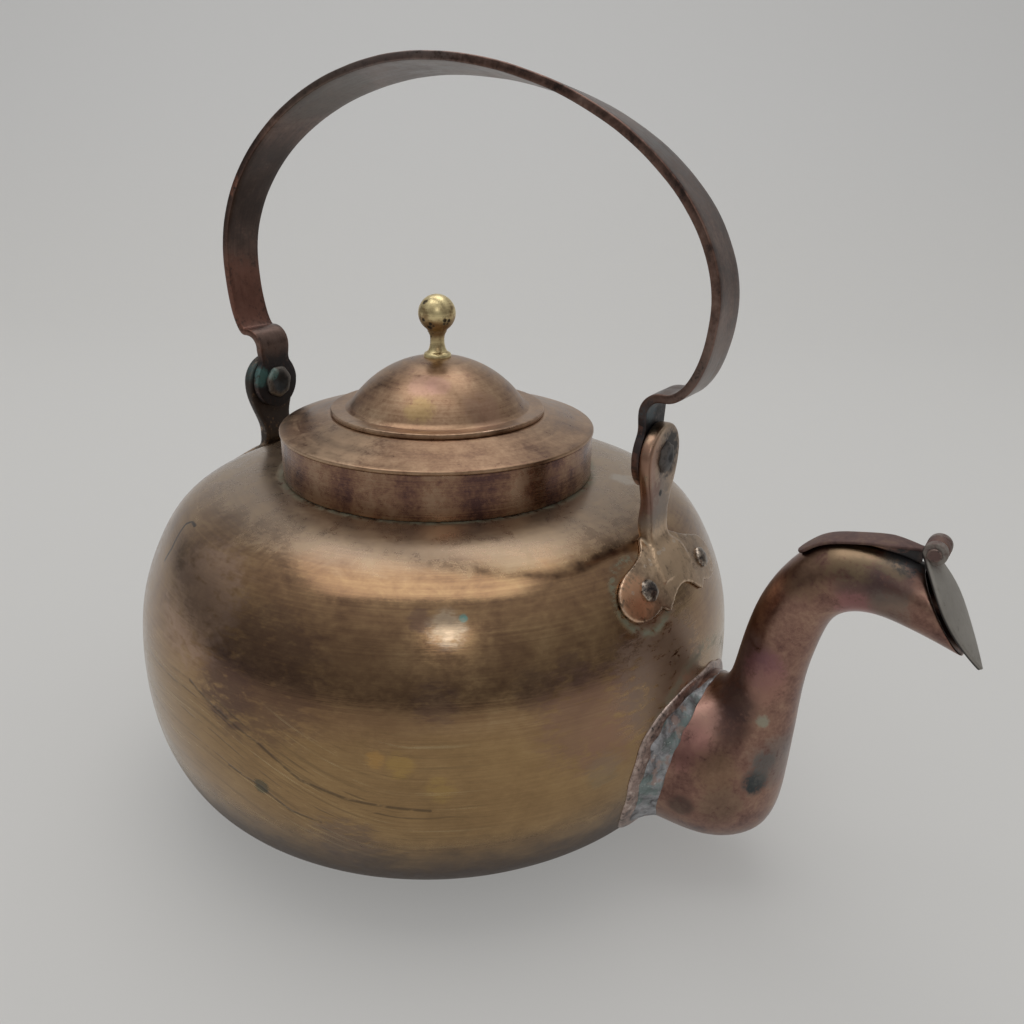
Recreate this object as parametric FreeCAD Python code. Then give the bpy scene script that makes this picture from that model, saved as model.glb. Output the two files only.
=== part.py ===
import FreeCAD
import Part
import math
import os

# Hand-made copper kettle with a gooseneck spout, a hinged spout flap,
# a lift-off cap lid and a swing handle between two riveted ears.
# Units are millimetres. The origin is the centre of the base on the table,
# +X runs along the spout and +Z is up.

V = FreeCAD.Vector
UP = V(0, 0, 1)
ALONG = V(1, 0, 0)
ACROSS = V(0, 1, 0)

# Fits shared by all pieces
seat_gap = 0.1          # between fixed curved faces
run_gap = 0.3           # between faces that move past each other
pin_fit = 0.06          # radial clearance of a pin in its hole
overrun = 4.0           # how far cutting shapes reach past the work

# Body of sheet copper, raised into a low round belly
body_wall = 1.5
belly_radius = 110.0
neck_seat_height = 121.5
neck_ledge = 3.5        # from the lid's skirt to where the belly starts to curve
foot_share = 0.6545     # foot against belly
foot_ring_width = 7.0
foot_rise = 0.3         # slope at which the wall leaves the foot
belly_steps = 20        # points that carry an offset outline
height_halvings = 40    # halvings that find a height on the outline
belly_outline_shares = (
    (0.775, 0.066), (0.889, 0.138), (0.962, 0.255), (0.996, 0.400),
    (0.999, 0.540), (0.978, 0.680), (0.918, 0.820), (0.838, 0.920),
    (0.728, 0.970),
)

# Bottom pan nested inside the foot, with a turned-up rim
pan_wall = 1.4
pan_rim_height = 10.0

# Lid: skirt, sloped top plate and brimmed dome
lid_wall = 1.2
lid_share = 0.5136      # lid against belly
lid_skirt_height = 15.5
lid_overhang = 0.4
lid_rise = 5.0          # rise of the sloped top from rim to dome seat
dome_seat_width = 9.0
brim_share = 0.6832     # brim against lid
brim_height = 1.7
brim_round = 0.5
brim_width = 6.2
dome_rise = 18.0

# Upright collar inside the lid skirt
collar_wall = 1.3
collar_height = 12.0

# Brass knob on a peened stem
knob_radius = 6.6
knob_height = 22.0      # from the dome to the top of the ball
knob_foot_radius = 4.9
knob_foot_height = 1.6
knob_waist_radius = 2.5
knob_waist_share = 0.33
knob_stem_radius = 2.0
knob_neck_radius = 3.4
washer_radius = 4.6
washer_height = 1.0
peen_radius = 3.0
peen_height = 1.1

# Gooseneck spout. Each station has its inner edge and outer edge as shares
# of the reach and of the crest height, then half the width as a share of
# the throat.
spout_reach = 76.0      # from the belly to the tip of the mouth
spout_crest = 128.3
spout_throat = 21.0
spout_wall = 1.3
oval_steps = 6          # steps along each half of an oval section
spout_station_shares = (
    (-0.118, 0.522, -0.368, 0.101, 1.40),
    (0.000, 0.538, -0.053, 0.100, 1.33),
    (0.057, 0.544, 0.184, 0.118, 1.17),
    (0.087, 0.555, 0.322, 0.183, 0.98),
    (0.109, 0.572, 0.382, 0.312, 0.79),
    (0.128, 0.600, 0.401, 0.475, 0.62),
    (0.147, 0.663, 0.424, 0.627, 0.525),
    (0.174, 0.748, 0.455, 0.729, 0.50),
    (0.226, 0.843, 0.495, 0.799, 0.49),
    (0.303, 0.920, 0.546, 0.829, 0.486),
    (0.408, 0.979, 0.605, 0.841, 0.481),
    (0.539, 1.000, 0.678, 0.842, 0.476),
    (0.671, 0.995, 0.763, 0.832, 0.467),
    (0.803, 0.973, 0.875, 0.813, 0.443),
    (0.934, 0.931, 1.039, 0.779, 0.390),
)
flange_wall = 1.2
flange_half_height = 29.5
flange_half_width = 38.5
flange_middle = 41.5
bead_reach = 8.0        # how far the solder stands off the belly
bead_growth_shares = (0.70, 0.175, -0.69, -1.10)

# Slanted mouth with its flap on a three-knuckle hinge
mouth_top_share = 0.776
mouth_height_share = 0.982
mouth_slope = 58.5
flap_gap = 1.6
flap_wall = 1.4
flap_length = 36.1      # from the pin to the tip
flap_half_width = 10.6
flap_outline_shares = ((0.17, 0.72), (0.36, 0.98), (0.52, 0.98), (0.72, 0.72), (0.90, 0.33))
knuckle_radius = 3.3
knuckle_rise = 2.8      # the pin's height above the mouth along its slope
leaf_knuckle_length = 3.4
flap_knuckle_length = 2.8
knuckle_gap = 0.2
pin_radius = 1.2
pin_head_radius = 1.9
pin_head_height = 0.8
leaf_wall = 1.4
leaf_stations = slice(9, 12)    # the stations of the spout that carry the leaf
leaf_drop = 2.2         # from the pin down to the leaf's lower face

# Swing handle pivots and ears
pivot_rise = 20.5       # from the neck seat up to the pivots
ear_set_in = 11.5       # from the belly at the plate in to the ear's inner face
ear_wall = 4.0
ear_eye_radius = 12.0
ear_neck_half = 5.8
ear_neck_round = 9.0
ear_foot_half = 9.6
plate_wall = 1.8
plate_height_share = 0.8724
plate_half_width = 31.0
plate_length = 24.0
plate_lobe_shares = (
    (0.22, -0.60), (0.36, -0.45), (0.62, -0.32), (0.90, -0.18), (1.00, 0.02),
    (0.97, 0.20), (0.84, 0.35), (0.65, 0.38), (0.48, 0.33),
)
plate_nib_shares = ((0.38, 0.43), (0.29, 0.35))
plate_arch_share = 0.20
rivet_drop = 1.0        # from the plate's middle height down to the rivets
rivet_spacing = 37.0
rivet_radius = 2.0
rivet_head_radius = 3.6
rivet_head_height = 1.5
rivet_tail_radius = 3.0
rivet_tail_height = 1.0
pivot_radius = 3.2
pivot_head_radius = 4.8
pivot_head_height = 2.2
pivot_dish_radius = 6.2
pivot_dish_height = 1.8

# Handle strap: a flat bar bent into an arch, joggled in to its two tabs
crown_rise = 116.3          # from the pivots to the crown
crown_offset = -1.8
widest_rise = 47.8          # from the pivots to the arch's widest place
front_bulge = 19.9          # from the ears' inner faces out to the widest place
rear_bulge = 13.9
arch_power_share = 1.04     # exponent of the arch against a plain ellipse
strap_wall = 2.8
strap_crown_width = 20.0
strap_leg_width = 16.0
strap_chamfer = 0.5
strap_roll = 8.5            # degrees by which the crown is rolled
ledge_overhang = 5.7        # from the ears' inner faces out to the legs
ledge_rise = 19.0           # from the pivots up to the ledges
ledge_bend = 4.5
ledge_lap = 1.0             # length over which leg and ledge share their metal
tab_neck_half = 7.0
tab_neck_round = 12.0
tab_eye_radius = 10.5
strap_leg_angles = (-90, -62, -36, -14)     # sections of one leg, in degrees along the arch
strap_arch_angles = (8, 26, 44, 62, 78)     # sections from the leg to the crown
slope_step = 0.05           # degrees over which the arch's direction is taken


def cap_sphere(radius, rise):
    """Radius of the sphere whose cap has a given radius and rise."""
    return (radius ** 2 + rise ** 2) / (2 * rise)


# Sizes worked out from the ones above
foot_radius = foot_share * belly_radius
lid_radius = lid_share * belly_radius
neck_seat_radius = lid_radius + neck_ledge
brim_radius = brim_share * lid_radius
dome_radius = brim_radius - brim_width
collar_radius = lid_radius - lid_wall - run_gap
collar_bore = collar_radius - collar_wall
rim_height = neck_seat_height + lid_skirt_height
plate_top = rim_height + lid_wall + lid_rise
dome_top = plate_top + brim_height + dome_rise
dome_sphere = cap_sphere(dome_radius, dome_rise)
dome_centre = dome_top - dome_sphere
knob_seat = dome_centre + math.sqrt(dome_sphere ** 2 - knob_foot_radius ** 2)
mouth_down = V(math.cos(math.radians(mouth_slope)), 0, -math.sin(math.radians(mouth_slope)))
mouth_out = V(-mouth_down.z, 0, mouth_down.x)
mouth_top = V(belly_radius + mouth_top_share * spout_reach, 0, mouth_height_share * spout_crest)
hinge_centre = mouth_top + mouth_out * (flap_gap + knuckle_radius) - mouth_down * knuckle_rise
hinge_half = leaf_knuckle_length / 2 + knuckle_gap + flap_knuckle_length


def spline(points, start=None, end=None):
    """Smooth curve through points, with end directions where they matter."""
    curve = Part.BSplineCurve()
    if start is None:
        curve.interpolate(points)
    else:
        curve.interpolate(Points=points, InitialTangent=start, FinalTangent=end)
    return curve


def line(a, b):
    return Part.makeLine(a, b)


def arc(a, b, c):
    return Part.Arc(a, b, c).toShape()


def face_of(edges):
    """Plane face inside a closed chain of edges."""
    return Part.Face(Part.Wire(Part.__sortEdges__(edges)))


def turned(edges):
    """Solid of revolution about the kettle's axis."""
    return face_of(edges).revolve(V(0, 0, 0), UP, 360)


def polygon(points):
    return [line(a, b) for a, b in zip(points, points[1:] + points[:1])]


def ring(outer, inner, bottom, height):
    """Upright ring about the kettle's axis."""
    blank = Part.makeCylinder(outer, height, V(0, 0, bottom))
    return blank.cut(Part.makeCylinder(inner, height, V(0, 0, bottom)))


def mirrored_to_rear(shape):
    """Copy of a front piece turned half round to the rear."""
    return shape.rotated(V(0, 0, 0), UP, 180)


# Body

def belly_curve(grow=0):
    """Outline of the belly from foot to neck seat, offset by a distance."""
    points = [V(foot_radius, 0, 0)]
    for radius_share, height_share in belly_outline_shares:
        points.append(V(radius_share * belly_radius, 0, height_share * neck_seat_height))
    points.append(V(neck_seat_radius, 0, neck_seat_height))
    leave = V(1, 0, foot_rise)
    arrive = V(-1, 0, 0)
    curve = spline(points, leave, arrive)
    if not grow:
        return curve
    moved = []
    for step in range(belly_steps + 1):
        parameter = curve.FirstParameter + (curve.LastParameter - curve.FirstParameter) * step / belly_steps
        moved.append(curve.value(parameter) + outward(curve, parameter) * grow)
    return spline(moved, leave, arrive)


def outward(curve, parameter):
    """Direction square to the belly's outline, away from the inside."""
    tangent = curve.tangent(parameter)[0]
    return V(tangent.z, 0, -tangent.x).normalize()


def belly_at(height):
    """Radius of the belly at a height, and the outward normal there."""
    curve = belly_curve()
    low, high = curve.FirstParameter, curve.LastParameter
    for halving in range(height_halvings):
        middle = (low + high) / 2
        if curve.value(middle).z < height:
            low = middle
        else:
            high = middle
    return curve.value(low).x, outward(curve, low)


# Sizes that follow the belly: ears, pivots and handle
plate_height = plate_height_share * neck_seat_height
rivet_height = plate_height - rivet_drop
pivot_height = neck_seat_height + pivot_rise
ear_face = belly_at(plate_height)[0] - ear_set_in
tab_face = ear_face - run_gap
tab_middle = tab_face - strap_wall / 2
crown_height = pivot_height + crown_rise
widest_height = pivot_height + widest_rise
front_reach = ear_face + front_bulge
rear_reach = ear_face + rear_bulge
ledge_start = ear_face + ledge_overhang
ledge_height = pivot_height + ledge_rise
ledge_middle = ledge_height + strap_wall / 2


def belly_solid(grow):
    """The belly as a full solid, grown outwards or shrunk by a distance."""
    curve = belly_curve(grow)
    foot = curve.value(curve.FirstParameter)
    seat = curve.value(curve.LastParameter)
    low = V(0, 0, foot.z)
    high = V(0, 0, seat.z)
    return turned([curve.toShape(), line(seat, high), line(high, low), line(low, foot)])


def belly_skin(inner, outer):
    """Layer between two distances from the outside of the belly."""
    return belly_solid(outer).cut(belly_solid(inner))


def make_body_shell(spout_bore, rivet_holes):
    shell = belly_skin(-body_wall, 0)
    depth = body_wall + overrun
    neck = Part.makeCylinder(collar_bore, depth, V(0, 0, neck_seat_height - body_wall - overrun / 2))
    foot = Part.makeCylinder(foot_radius - foot_ring_width, depth, V(0, 0, -overrun / 2))
    return shell.cut([neck, foot, spout_bore] + rivet_holes)


def make_base_pan():
    """Dish inside the foot, stepped down flush with the table in the middle."""
    outside = -body_wall - seat_gap
    dish = belly_skin(outside - pan_wall, outside)
    above = Part.makeCylinder(belly_radius, neck_seat_height, V(0, 0, pan_rim_height))
    step = Part.makeCylinder(foot_radius - foot_ring_width - seat_gap, body_wall + pan_wall)
    return dish.cut(above).fuse(step).removeSplitter()


def make_neck_collar():
    return ring(collar_radius, collar_bore, neck_seat_height, collar_height)


# Lid

def make_lid_skirt():
    return ring(lid_radius, lid_radius - lid_wall, neck_seat_height, lid_skirt_height)


def make_lid_top_plate():
    seat_outer = brim_radius + lid_overhang
    seat_inner = brim_radius - dome_seat_width
    rim = lid_radius + lid_overhang
    return turned(polygon([
        V(seat_inner, 0, plate_top - lid_wall),
        V(seat_outer, 0, plate_top - lid_wall),
        V(rim, 0, rim_height),
        V(rim, 0, rim_height + lid_wall),
        V(seat_outer, 0, plate_top),
        V(seat_inner, 0, plate_top),
    ]))


def dome_point(radius, inset):
    sphere = dome_sphere - inset
    return V(radius, 0, dome_centre + math.sqrt(sphere ** 2 - radius ** 2))


def make_lid_dome():
    bore = knob_stem_radius + pin_fit
    brim_top = plate_top + brim_height
    inner_base = math.sqrt((dome_sphere - lid_wall) ** 2 - (plate_top - dome_centre) ** 2)
    outer = [dome_point(r, 0) for r in (dome_radius, dome_radius / 2, knob_foot_radius)]
    inner = [dome_point(r, lid_wall) for r in (knob_foot_radius, dome_radius / 2)]
    inner.append(V(inner_base, 0, plate_top))
    seat_under = V(bore, 0, inner[0].z)
    seat_over = V(bore, 0, outer[2].z)
    edge_low = V(brim_radius, 0, plate_top)
    edge_high = V(brim_radius, 0, brim_top - brim_round)
    lip = V(brim_radius - brim_round, 0, brim_top)
    valley = V((brim_radius + dome_radius) / 2, 0, brim_top)
    return turned([
        line(inner[2], edge_low),
        line(edge_low, edge_high),
        line(edge_high, lip),
        line(lip, valley),
        line(valley, outer[0]),
        arc(outer[0], outer[1], outer[2]),
        line(outer[2], seat_over),
        line(seat_over, seat_under),
        line(seat_under, inner[0]),
        arc(inner[0], inner[1], inner[2]),
    ])


def knob_under():
    """Height of the washer's lower face inside the dome."""
    return dome_point(knob_foot_radius, lid_wall).z - washer_height


def make_lid_knob():
    top = knob_seat + knob_height
    centre = top - knob_radius
    foot_top = knob_seat + knob_foot_height
    waist = foot_top + knob_waist_share * (centre - foot_top)
    neck = centre - math.sqrt(knob_radius ** 2 - knob_neck_radius ** 2)
    under = knob_under()
    flare = (knob_foot_radius + knob_waist_radius) / 2
    points = [
        V(0, 0, under - peen_height),
        V(peen_radius, 0, under - peen_height),
        V(peen_radius, 0, under),
        V(knob_stem_radius, 0, under),
        V(knob_stem_radius, 0, knob_seat),
        V(knob_foot_radius, 0, knob_seat),
        V(knob_foot_radius, 0, foot_top - knob_foot_height / 2),
        V(flare, 0, foot_top),
    ]
    edges = [line(a, b) for a, b in zip(points, points[1:])]
    neck_point = V(knob_neck_radius, 0, neck)
    edges.append(arc(points[-1], V(knob_waist_radius, 0, waist), neck_point))
    edges.append(arc(neck_point, V(knob_radius, 0, centre), V(0, 0, top)))
    edges.append(line(V(0, 0, top), points[0]))
    return turned(edges)


def make_knob_washer():
    return ring(washer_radius, knob_stem_radius + pin_fit, knob_under(), washer_height)


# Spout

def oval(centre, toward, depth, across, width):
    """Smooth oval from its two half axes, as two matching half curves."""
    shares = [step / oval_steps for step in range(oval_steps + 1)]
    halves = []
    for way in (1, -1):
        points = []
        for share in shares:
            lengthwise = toward * (depth * math.cos(math.pi * share))
            sideways = across * (way * width * math.sin(math.pi * share))
            points.append(centre + lengthwise + sideways)
        leave = across * (way * width * math.pi)
        curve = Part.BSplineCurve()
        curve.interpolate(
            Points=points, Parameters=shares, InitialTangent=leave, FinalTangent=leave * -1, Scale=False)
        halves.append(curve)
    return halves


def oval_face(halves):
    return face_of([curve.toShape() for curve in halves])


def station_middle(shares):
    """Middle of a station, and the half span from its inner to its outer edge."""
    inner_x, inner_z, outer_x, outer_z, half_share = shares
    inner = V(belly_radius + inner_x * spout_reach, 0, inner_z * spout_crest)
    outer = V(belly_radius + outer_x * spout_reach, 0, outer_z * spout_crest)
    return (inner + outer) / 2, (outer - inner) / 2


def station_oval(shares, grow):
    """Oval section of the spout, grown or shrunk by a distance."""
    middle, span = station_middle(shares)
    width = shares[-1] * spout_throat
    return oval(middle, V(span).normalize(), span.Length + grow, ACROSS, width + grow)


def skinned(rows, growths):
    """Solid with one smooth skin through stations grown by given distances."""
    ovals = [station_oval(row, grow) for row, grow in zip(rows, growths)]
    middles = [station_middle(row)[0] for row in rows]
    places = [0]
    for before, after in zip(middles, middles[1:]):
        places.append(places[-1] + (after - before).Length)
    faces = [oval_face(ovals[0]), oval_face(ovals[-1])]
    for halves in zip(*ovals):
        runs = []
        for poles in zip(*[curve.getPoles() for curve in halves]):
            run = Part.BSplineCurve()
            run.interpolate(Points=list(poles), Parameters=places)
            runs.append(run)
        round_curve, long_curve = halves[0], runs[0]
        surface = Part.BSplineSurface()
        surface.buildFromPolesMultsKnots(
            [run.getPoles() for run in runs],
            round_curve.getMultiplicities(), long_curve.getMultiplicities(),
            round_curve.getKnots(), long_curve.getKnots(),
            False, False, round_curve.Degree, long_curve.Degree)
        faces.append(surface.toShape())
    skin = Part.makeShell(faces)
    skin.sewShape()
    solid = Part.makeSolid(skin)
    if solid.Volume < 0:
        solid.reverse()
    return solid


def spout_form(grow):
    """The spout's form as a full solid, grown or shrunk by a distance."""
    return skinned(spout_station_shares, [grow] * len(spout_station_shares))


def past_mouth():
    """Block that takes away all that lies beyond the mouth's plane."""
    size = spout_reach
    block = Part.makeBox(size, size, size, V(0, -size / 2, -size / 2))
    block.rotate(V(0, 0, 0), ACROSS, -math.degrees(math.atan2(mouth_out.z, mouth_out.x)))
    return block.translated(mouth_top)


def flange_prism():
    """Oval bar along the spout's root that trims its flange."""
    rim = oval(V(foot_radius, 0, flange_middle), UP, flange_half_height, ACROSS, flange_half_width)
    return oval_face(rim).extrude(ALONG * (belly_radius - foot_radius + spout_reach))


def make_spout_tube(bore):
    """Gooseneck with its turned-out flange lying on the belly."""
    inside_flange = belly_solid(seat_gap + flange_wall / 2)
    tube = spout_form(0).cut([bore, inside_flange, past_mouth()])
    flange = belly_skin(seat_gap, seat_gap + flange_wall).common(flange_prism()).cut(bore)
    return tube.fuse(flange).removeSplitter()


def make_spout_solder():
    """Fillet of solder in the corner between the flange and the spout."""
    rows = spout_station_shares[:len(bead_growth_shares)]
    lump = skinned(rows, [share * bead_reach for share in bead_growth_shares])
    return lump.cut([belly_solid(seat_gap + flange_wall + seat_gap), spout_form(seat_gap)])


# Spout flap and its hinge

def along_mouth(down, across, out):
    """Point given by distances down the mouth, across it and out of it."""
    return mouth_top + mouth_down * down + ACROSS * across + mouth_out * out


def knuckle(radius, start, length):
    return Part.makeCylinder(radius, length, hinge_centre + ACROSS * start, ACROSS)


def make_spout_flap():
    root = -knuckle_rise
    side = [along_mouth(root, hinge_half, flap_gap)]
    for down_share, across_share in flap_outline_shares:
        side.append(along_mouth(root + down_share * flap_length, across_share * flap_half_width, flap_gap))
    tip = along_mouth(root + flap_length, 0, flap_gap)
    far = [V(p.x, -p.y, p.z) for p in reversed(side)]
    outline = spline(side + [tip] + far).toShape()
    blade = face_of([outline, line(far[-1], side[0])]).extrude(mouth_out * flap_wall)
    gap_half = leaf_knuckle_length / 2 + knuckle_gap
    rolls = [knuckle(knuckle_radius, y, flap_knuckle_length) for y in (gap_half, -hinge_half)]
    slot = knuckle(knuckle_radius + run_gap, -gap_half, 2 * gap_half)
    bore = knuckle(pin_radius + pin_fit, -hinge_half - overrun, 2 * (hinge_half + overrun))
    return blade.cut(slot).fuse(rolls).cut(bore).removeSplitter()


def make_flap_hinge_pin():
    half = hinge_half + knuckle_gap
    shank = knuckle(pin_radius, -half, 2 * half)
    heads = [knuckle(pin_head_radius, y, pin_head_height) for y in (half, -half - pin_head_height)]
    return shank.fuse(heads).removeSplitter()


def make_spout_hinge_leaf():
    """Strip soldered along the top of the beak, with the middle knuckle."""
    under = []
    for inner_x, inner_z, outer_x, outer_z, half_share in spout_station_shares[leaf_stations]:
        edge = V(inner_x * spout_reach, 0, inner_z * spout_crest)
        away = edge - V(outer_x * spout_reach, 0, outer_z * spout_crest)
        under.append(V(belly_radius, 0, 0) + edge + away.normalize() * run_gap)
    clear = hinge_centre.x - knuckle_radius - run_gap
    level = hinge_centre.z - leaf_drop
    under.append(V(clear, 0, level))
    rise = V(0, 0, leaf_wall)
    over = [point + rise for point in under]
    ends = [line(under[0], over[0]), line(under[-1], over[-1])]
    side = face_of([spline(under).toShape(), spline(over).toShape()] + ends)
    strip = side.translated(ACROSS * -hinge_half).extrude(ACROSS * 2 * hinge_half)
    half = leaf_knuckle_length / 2
    tongue_end = V(hinge_centre.x, 0, level)
    tongue_side = face_of(polygon([under[-1], tongue_end, tongue_end + rise, over[-1]]))
    tongue = tongue_side.translated(ACROSS * -half).extrude(ACROSS * leaf_knuckle_length)
    roll = knuckle(knuckle_radius, -half, leaf_knuckle_length)
    bore = knuckle(pin_radius, -half, leaf_knuckle_length)
    return strip.fuse([tongue, roll]).cut(bore).removeSplitter()


# Ears, rivets and pivots

def eye_outline(x, radius, neck_half, neck_round, way):
    """Right half of an eye that runs into a neck, as edges from its top.

    way is 1 for a neck that rises from the eye and -1 for one that hangs.
    """
    lift = math.sqrt((radius + neck_round) ** 2 - (neck_half + neck_round) ** 2)
    blend = V(x, neck_half + neck_round, pivot_height + way * lift)
    centre = V(x, 0, pivot_height)
    touch = centre + (blend - centre) * (radius / (radius + neck_round))
    crest = V(x, 0, pivot_height - way * radius)
    lean = math.atan2(touch.y, -way * (touch.z - pivot_height)) / 2
    side = centre + V(0, math.sin(lean), -way * math.cos(lean)) * radius
    neck = V(x, neck_half, blend.z)
    turn = (touch - blend) + (neck - blend)
    bend = blend + turn.normalize() * neck_round
    return [arc(crest, side, touch), arc(touch, bend, neck)], crest, neck


def both_sides(edges):
    return edges + [e.mirror(V(0, 0, 0), ACROSS) for e in edges]


def pivot_bore(clearance):
    reach = ear_wall + strap_wall + 2 * overrun
    start = V(tab_middle - overrun, 0, pivot_height)
    return Part.makeCylinder(pivot_radius + clearance, reach, start, ALONG)


def plate_frame():
    """Frame of the ear plate: across, down the belly, and out of it."""
    radius, normal = belly_at(plate_height)
    down = V(normal.z, 0, -normal.x)
    return V(radius, 0, plate_height), down, normal


def plate_point(across_share, down_share):
    origin, down, normal = plate_frame()
    return origin + ACROSS * (across_share * plate_half_width) + down * (down_share * plate_length)


def ear_plate():
    lobe = [plate_point(a, d) for a, d in plate_lobe_shares]
    nib = [plate_point(a, d) for a, d in plate_nib_shares]
    arch = plate_point(0, plate_arch_share)
    far_nib = V(nib[-1].x, -nib[-1].y, nib[-1].z)
    half = [spline(lobe).toShape(), line(lobe[-1], nib[0]), line(nib[0], nib[1])]
    far_lobe = V(lobe[0].x, -lobe[0].y, lobe[0].z)
    edges = both_sides(half) + [arc(nib[1], arch, far_nib), line(lobe[0], far_lobe)]
    normal = plate_frame()[2]
    depth = plate_length
    prism = face_of(edges).translated(normal * -depth).extrude(normal * 2 * depth)
    return belly_skin(seat_gap, seat_gap + plate_wall).common(prism)


def make_front_ear(rivet_holes):
    edges, crest, neck = eye_outline(ear_face, ear_eye_radius, ear_neck_half, ear_neck_round, -1)
    foot = V(ear_face, ear_foot_half, plate_height)
    waist = V(ear_face, ear_neck_half, (neck.z + foot.z) / 2)
    edges.append(spline([neck, waist, foot], V(0, 0, -1), V(0, 1, -1)).toShape())
    far_foot = V(foot.x, -foot.y, foot.z)
    outline = face_of(both_sides(edges) + [line(foot, far_foot)])
    stem = outline.extrude(ALONG * ear_wall).cut(belly_solid(seat_gap))
    ear = stem.fuse(ear_plate()).removeSplitter()
    return ear.cut([pivot_bore(0)] + rivet_holes)


def rivet_frames():
    """Foot point on the belly and outward normal of each ear rivet."""
    radius, normal = belly_at(rivet_height)
    frames = []
    for side in (1, -1):
        angle = math.asin(side * rivet_spacing / 2 / radius)
        foot = V(radius * math.cos(angle), radius * math.sin(angle), rivet_height)
        frames.append((foot, V(normal.x * math.cos(angle), normal.x * math.sin(angle), normal.z)))
    return frames


def make_front_ear_rivets():
    """Two rivets, each with a domed head outside and a flat tail inside."""
    head_base = seat_gap + plate_wall
    tail_top = -body_wall - run_gap
    tail_base = tail_top - rivet_tail_height
    crown = V(0, 0, head_base + rivet_head_height)
    sphere = cap_sphere(rivet_head_radius, rivet_head_height)
    half_way = rivet_head_radius / 2
    shoulder = V(half_way, 0, crown.z - sphere + math.sqrt(sphere ** 2 - half_way ** 2))
    points = [
        V(0, 0, tail_base),
        V(rivet_tail_radius, 0, tail_base),
        V(rivet_tail_radius, 0, tail_top),
        V(rivet_radius, 0, tail_top),
        V(rivet_radius, 0, head_base),
        V(rivet_head_radius, 0, head_base),
    ]
    edges = [line(a, b) for a, b in zip(points, points[1:])]
    edges += [arc(points[-1], shoulder, crown), line(crown, points[0])]
    rivet = turned(edges)
    solids = []
    for foot, normal in rivet_frames():
        solid = rivet.copy()
        solid.Placement = FreeCAD.Placement(foot, FreeCAD.Rotation(UP, normal))
        solids.append(solid)
    return Part.makeCompound(solids)


def make_rivet_holes():
    holes = []
    for foot, normal in rivet_frames():
        reach = body_wall + plate_wall + overrun
        holes.append(Part.makeCylinder(rivet_radius + pin_fit, 2 * reach, foot - normal * reach, normal))
    return holes


def make_front_pivot_rivet():
    """Pivot with a domed head outside the ear and a dished head inside the tab."""
    inside = tab_face - strap_wall - run_gap
    outside = ear_face + ear_wall
    dish_rim = pivot_dish_radius - pivot_radius
    points = [
        V(inside - pivot_dish_height / 2, 0, 0),
        V(inside - pivot_dish_height, 0, dish_rim),
        V(inside - pivot_dish_height / 2, 0, pivot_dish_radius),
        V(inside, 0, pivot_dish_radius),
        V(inside, 0, pivot_radius),
        V(outside, 0, pivot_radius),
        V(outside, 0, pivot_head_radius),
    ]
    edges = [line(a, b) for a, b in zip(points, points[1:])]
    crown = V(outside + pivot_head_height, 0, 0)
    sphere = cap_sphere(pivot_head_radius, pivot_head_height)
    half_way = pivot_head_radius / 2
    shoulder = V(crown.x - sphere + math.sqrt(sphere ** 2 - half_way ** 2), 0, half_way)
    edges.append(arc(points[-1], shoulder, crown))
    edges.append(line(crown, points[0]))
    solid = face_of(edges).revolve(V(0, 0, 0), ALONG, 360)
    return solid.translated(V(0, 0, pivot_height))


# Handle

def arch_point(angle):
    """Point on the strap's outer line, with its outward normal direction.

    The angle runs from the rear ledge (-90) over the crown (90) to the
    front ledge (270).
    """
    turn = math.radians(angle)
    toward = -math.cos(turn)
    rise = math.sin(turn)
    reach = front_reach if toward > 0 else rear_reach
    side = math.copysign(1, toward)
    if rise >= 0:
        centre = crown_offset
        half_x = reach - side * crown_offset
        half_z = crown_height - widest_height
        power = arch_power_share
    else:
        centre = side * ledge_start
        half_x = reach - ledge_start
        half_z = widest_height - ledge_height
        power = 1
    x = centre + side * half_x * abs(toward) ** power
    z = widest_height + math.copysign(half_z * abs(rise) ** power, rise)
    return V(x, 0, z)


def strap_section(angle):
    """Flat section of the strap, square to its outer line at an angle."""
    low = max(angle - slope_step, strap_leg_angles[0])
    high = min(angle + slope_step, 180 - strap_leg_angles[0])
    tangent = (arch_point(high) - arch_point(low)).normalize()
    inward = tangent.cross(ACROSS) * -1
    crown_share = max(math.sin(math.radians(angle)), 0) ** 2
    width = strap_leg_width + (strap_crown_width - strap_leg_width) * crown_share
    roll = math.radians(strap_roll * crown_share)
    along = ACROSS * math.cos(roll) + inward * math.sin(roll)
    through = inward * math.cos(roll) - ACROSS * math.sin(roll)
    centre = arch_point(angle) + inward * (strap_wall / 2)
    half = width / 2
    deep = strap_wall / 2
    cut = strap_chamfer
    corners = [
        (half - cut, deep), (half, deep - cut), (half, cut - deep), (half - cut, -deep),
        (cut - half, -deep), (-half, cut - deep), (-half, deep - cut), (cut - half, deep),
    ]
    points = [centre + along * a + through * b for a, b in corners]
    return Part.makePolygon(points + points[:1])


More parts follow.
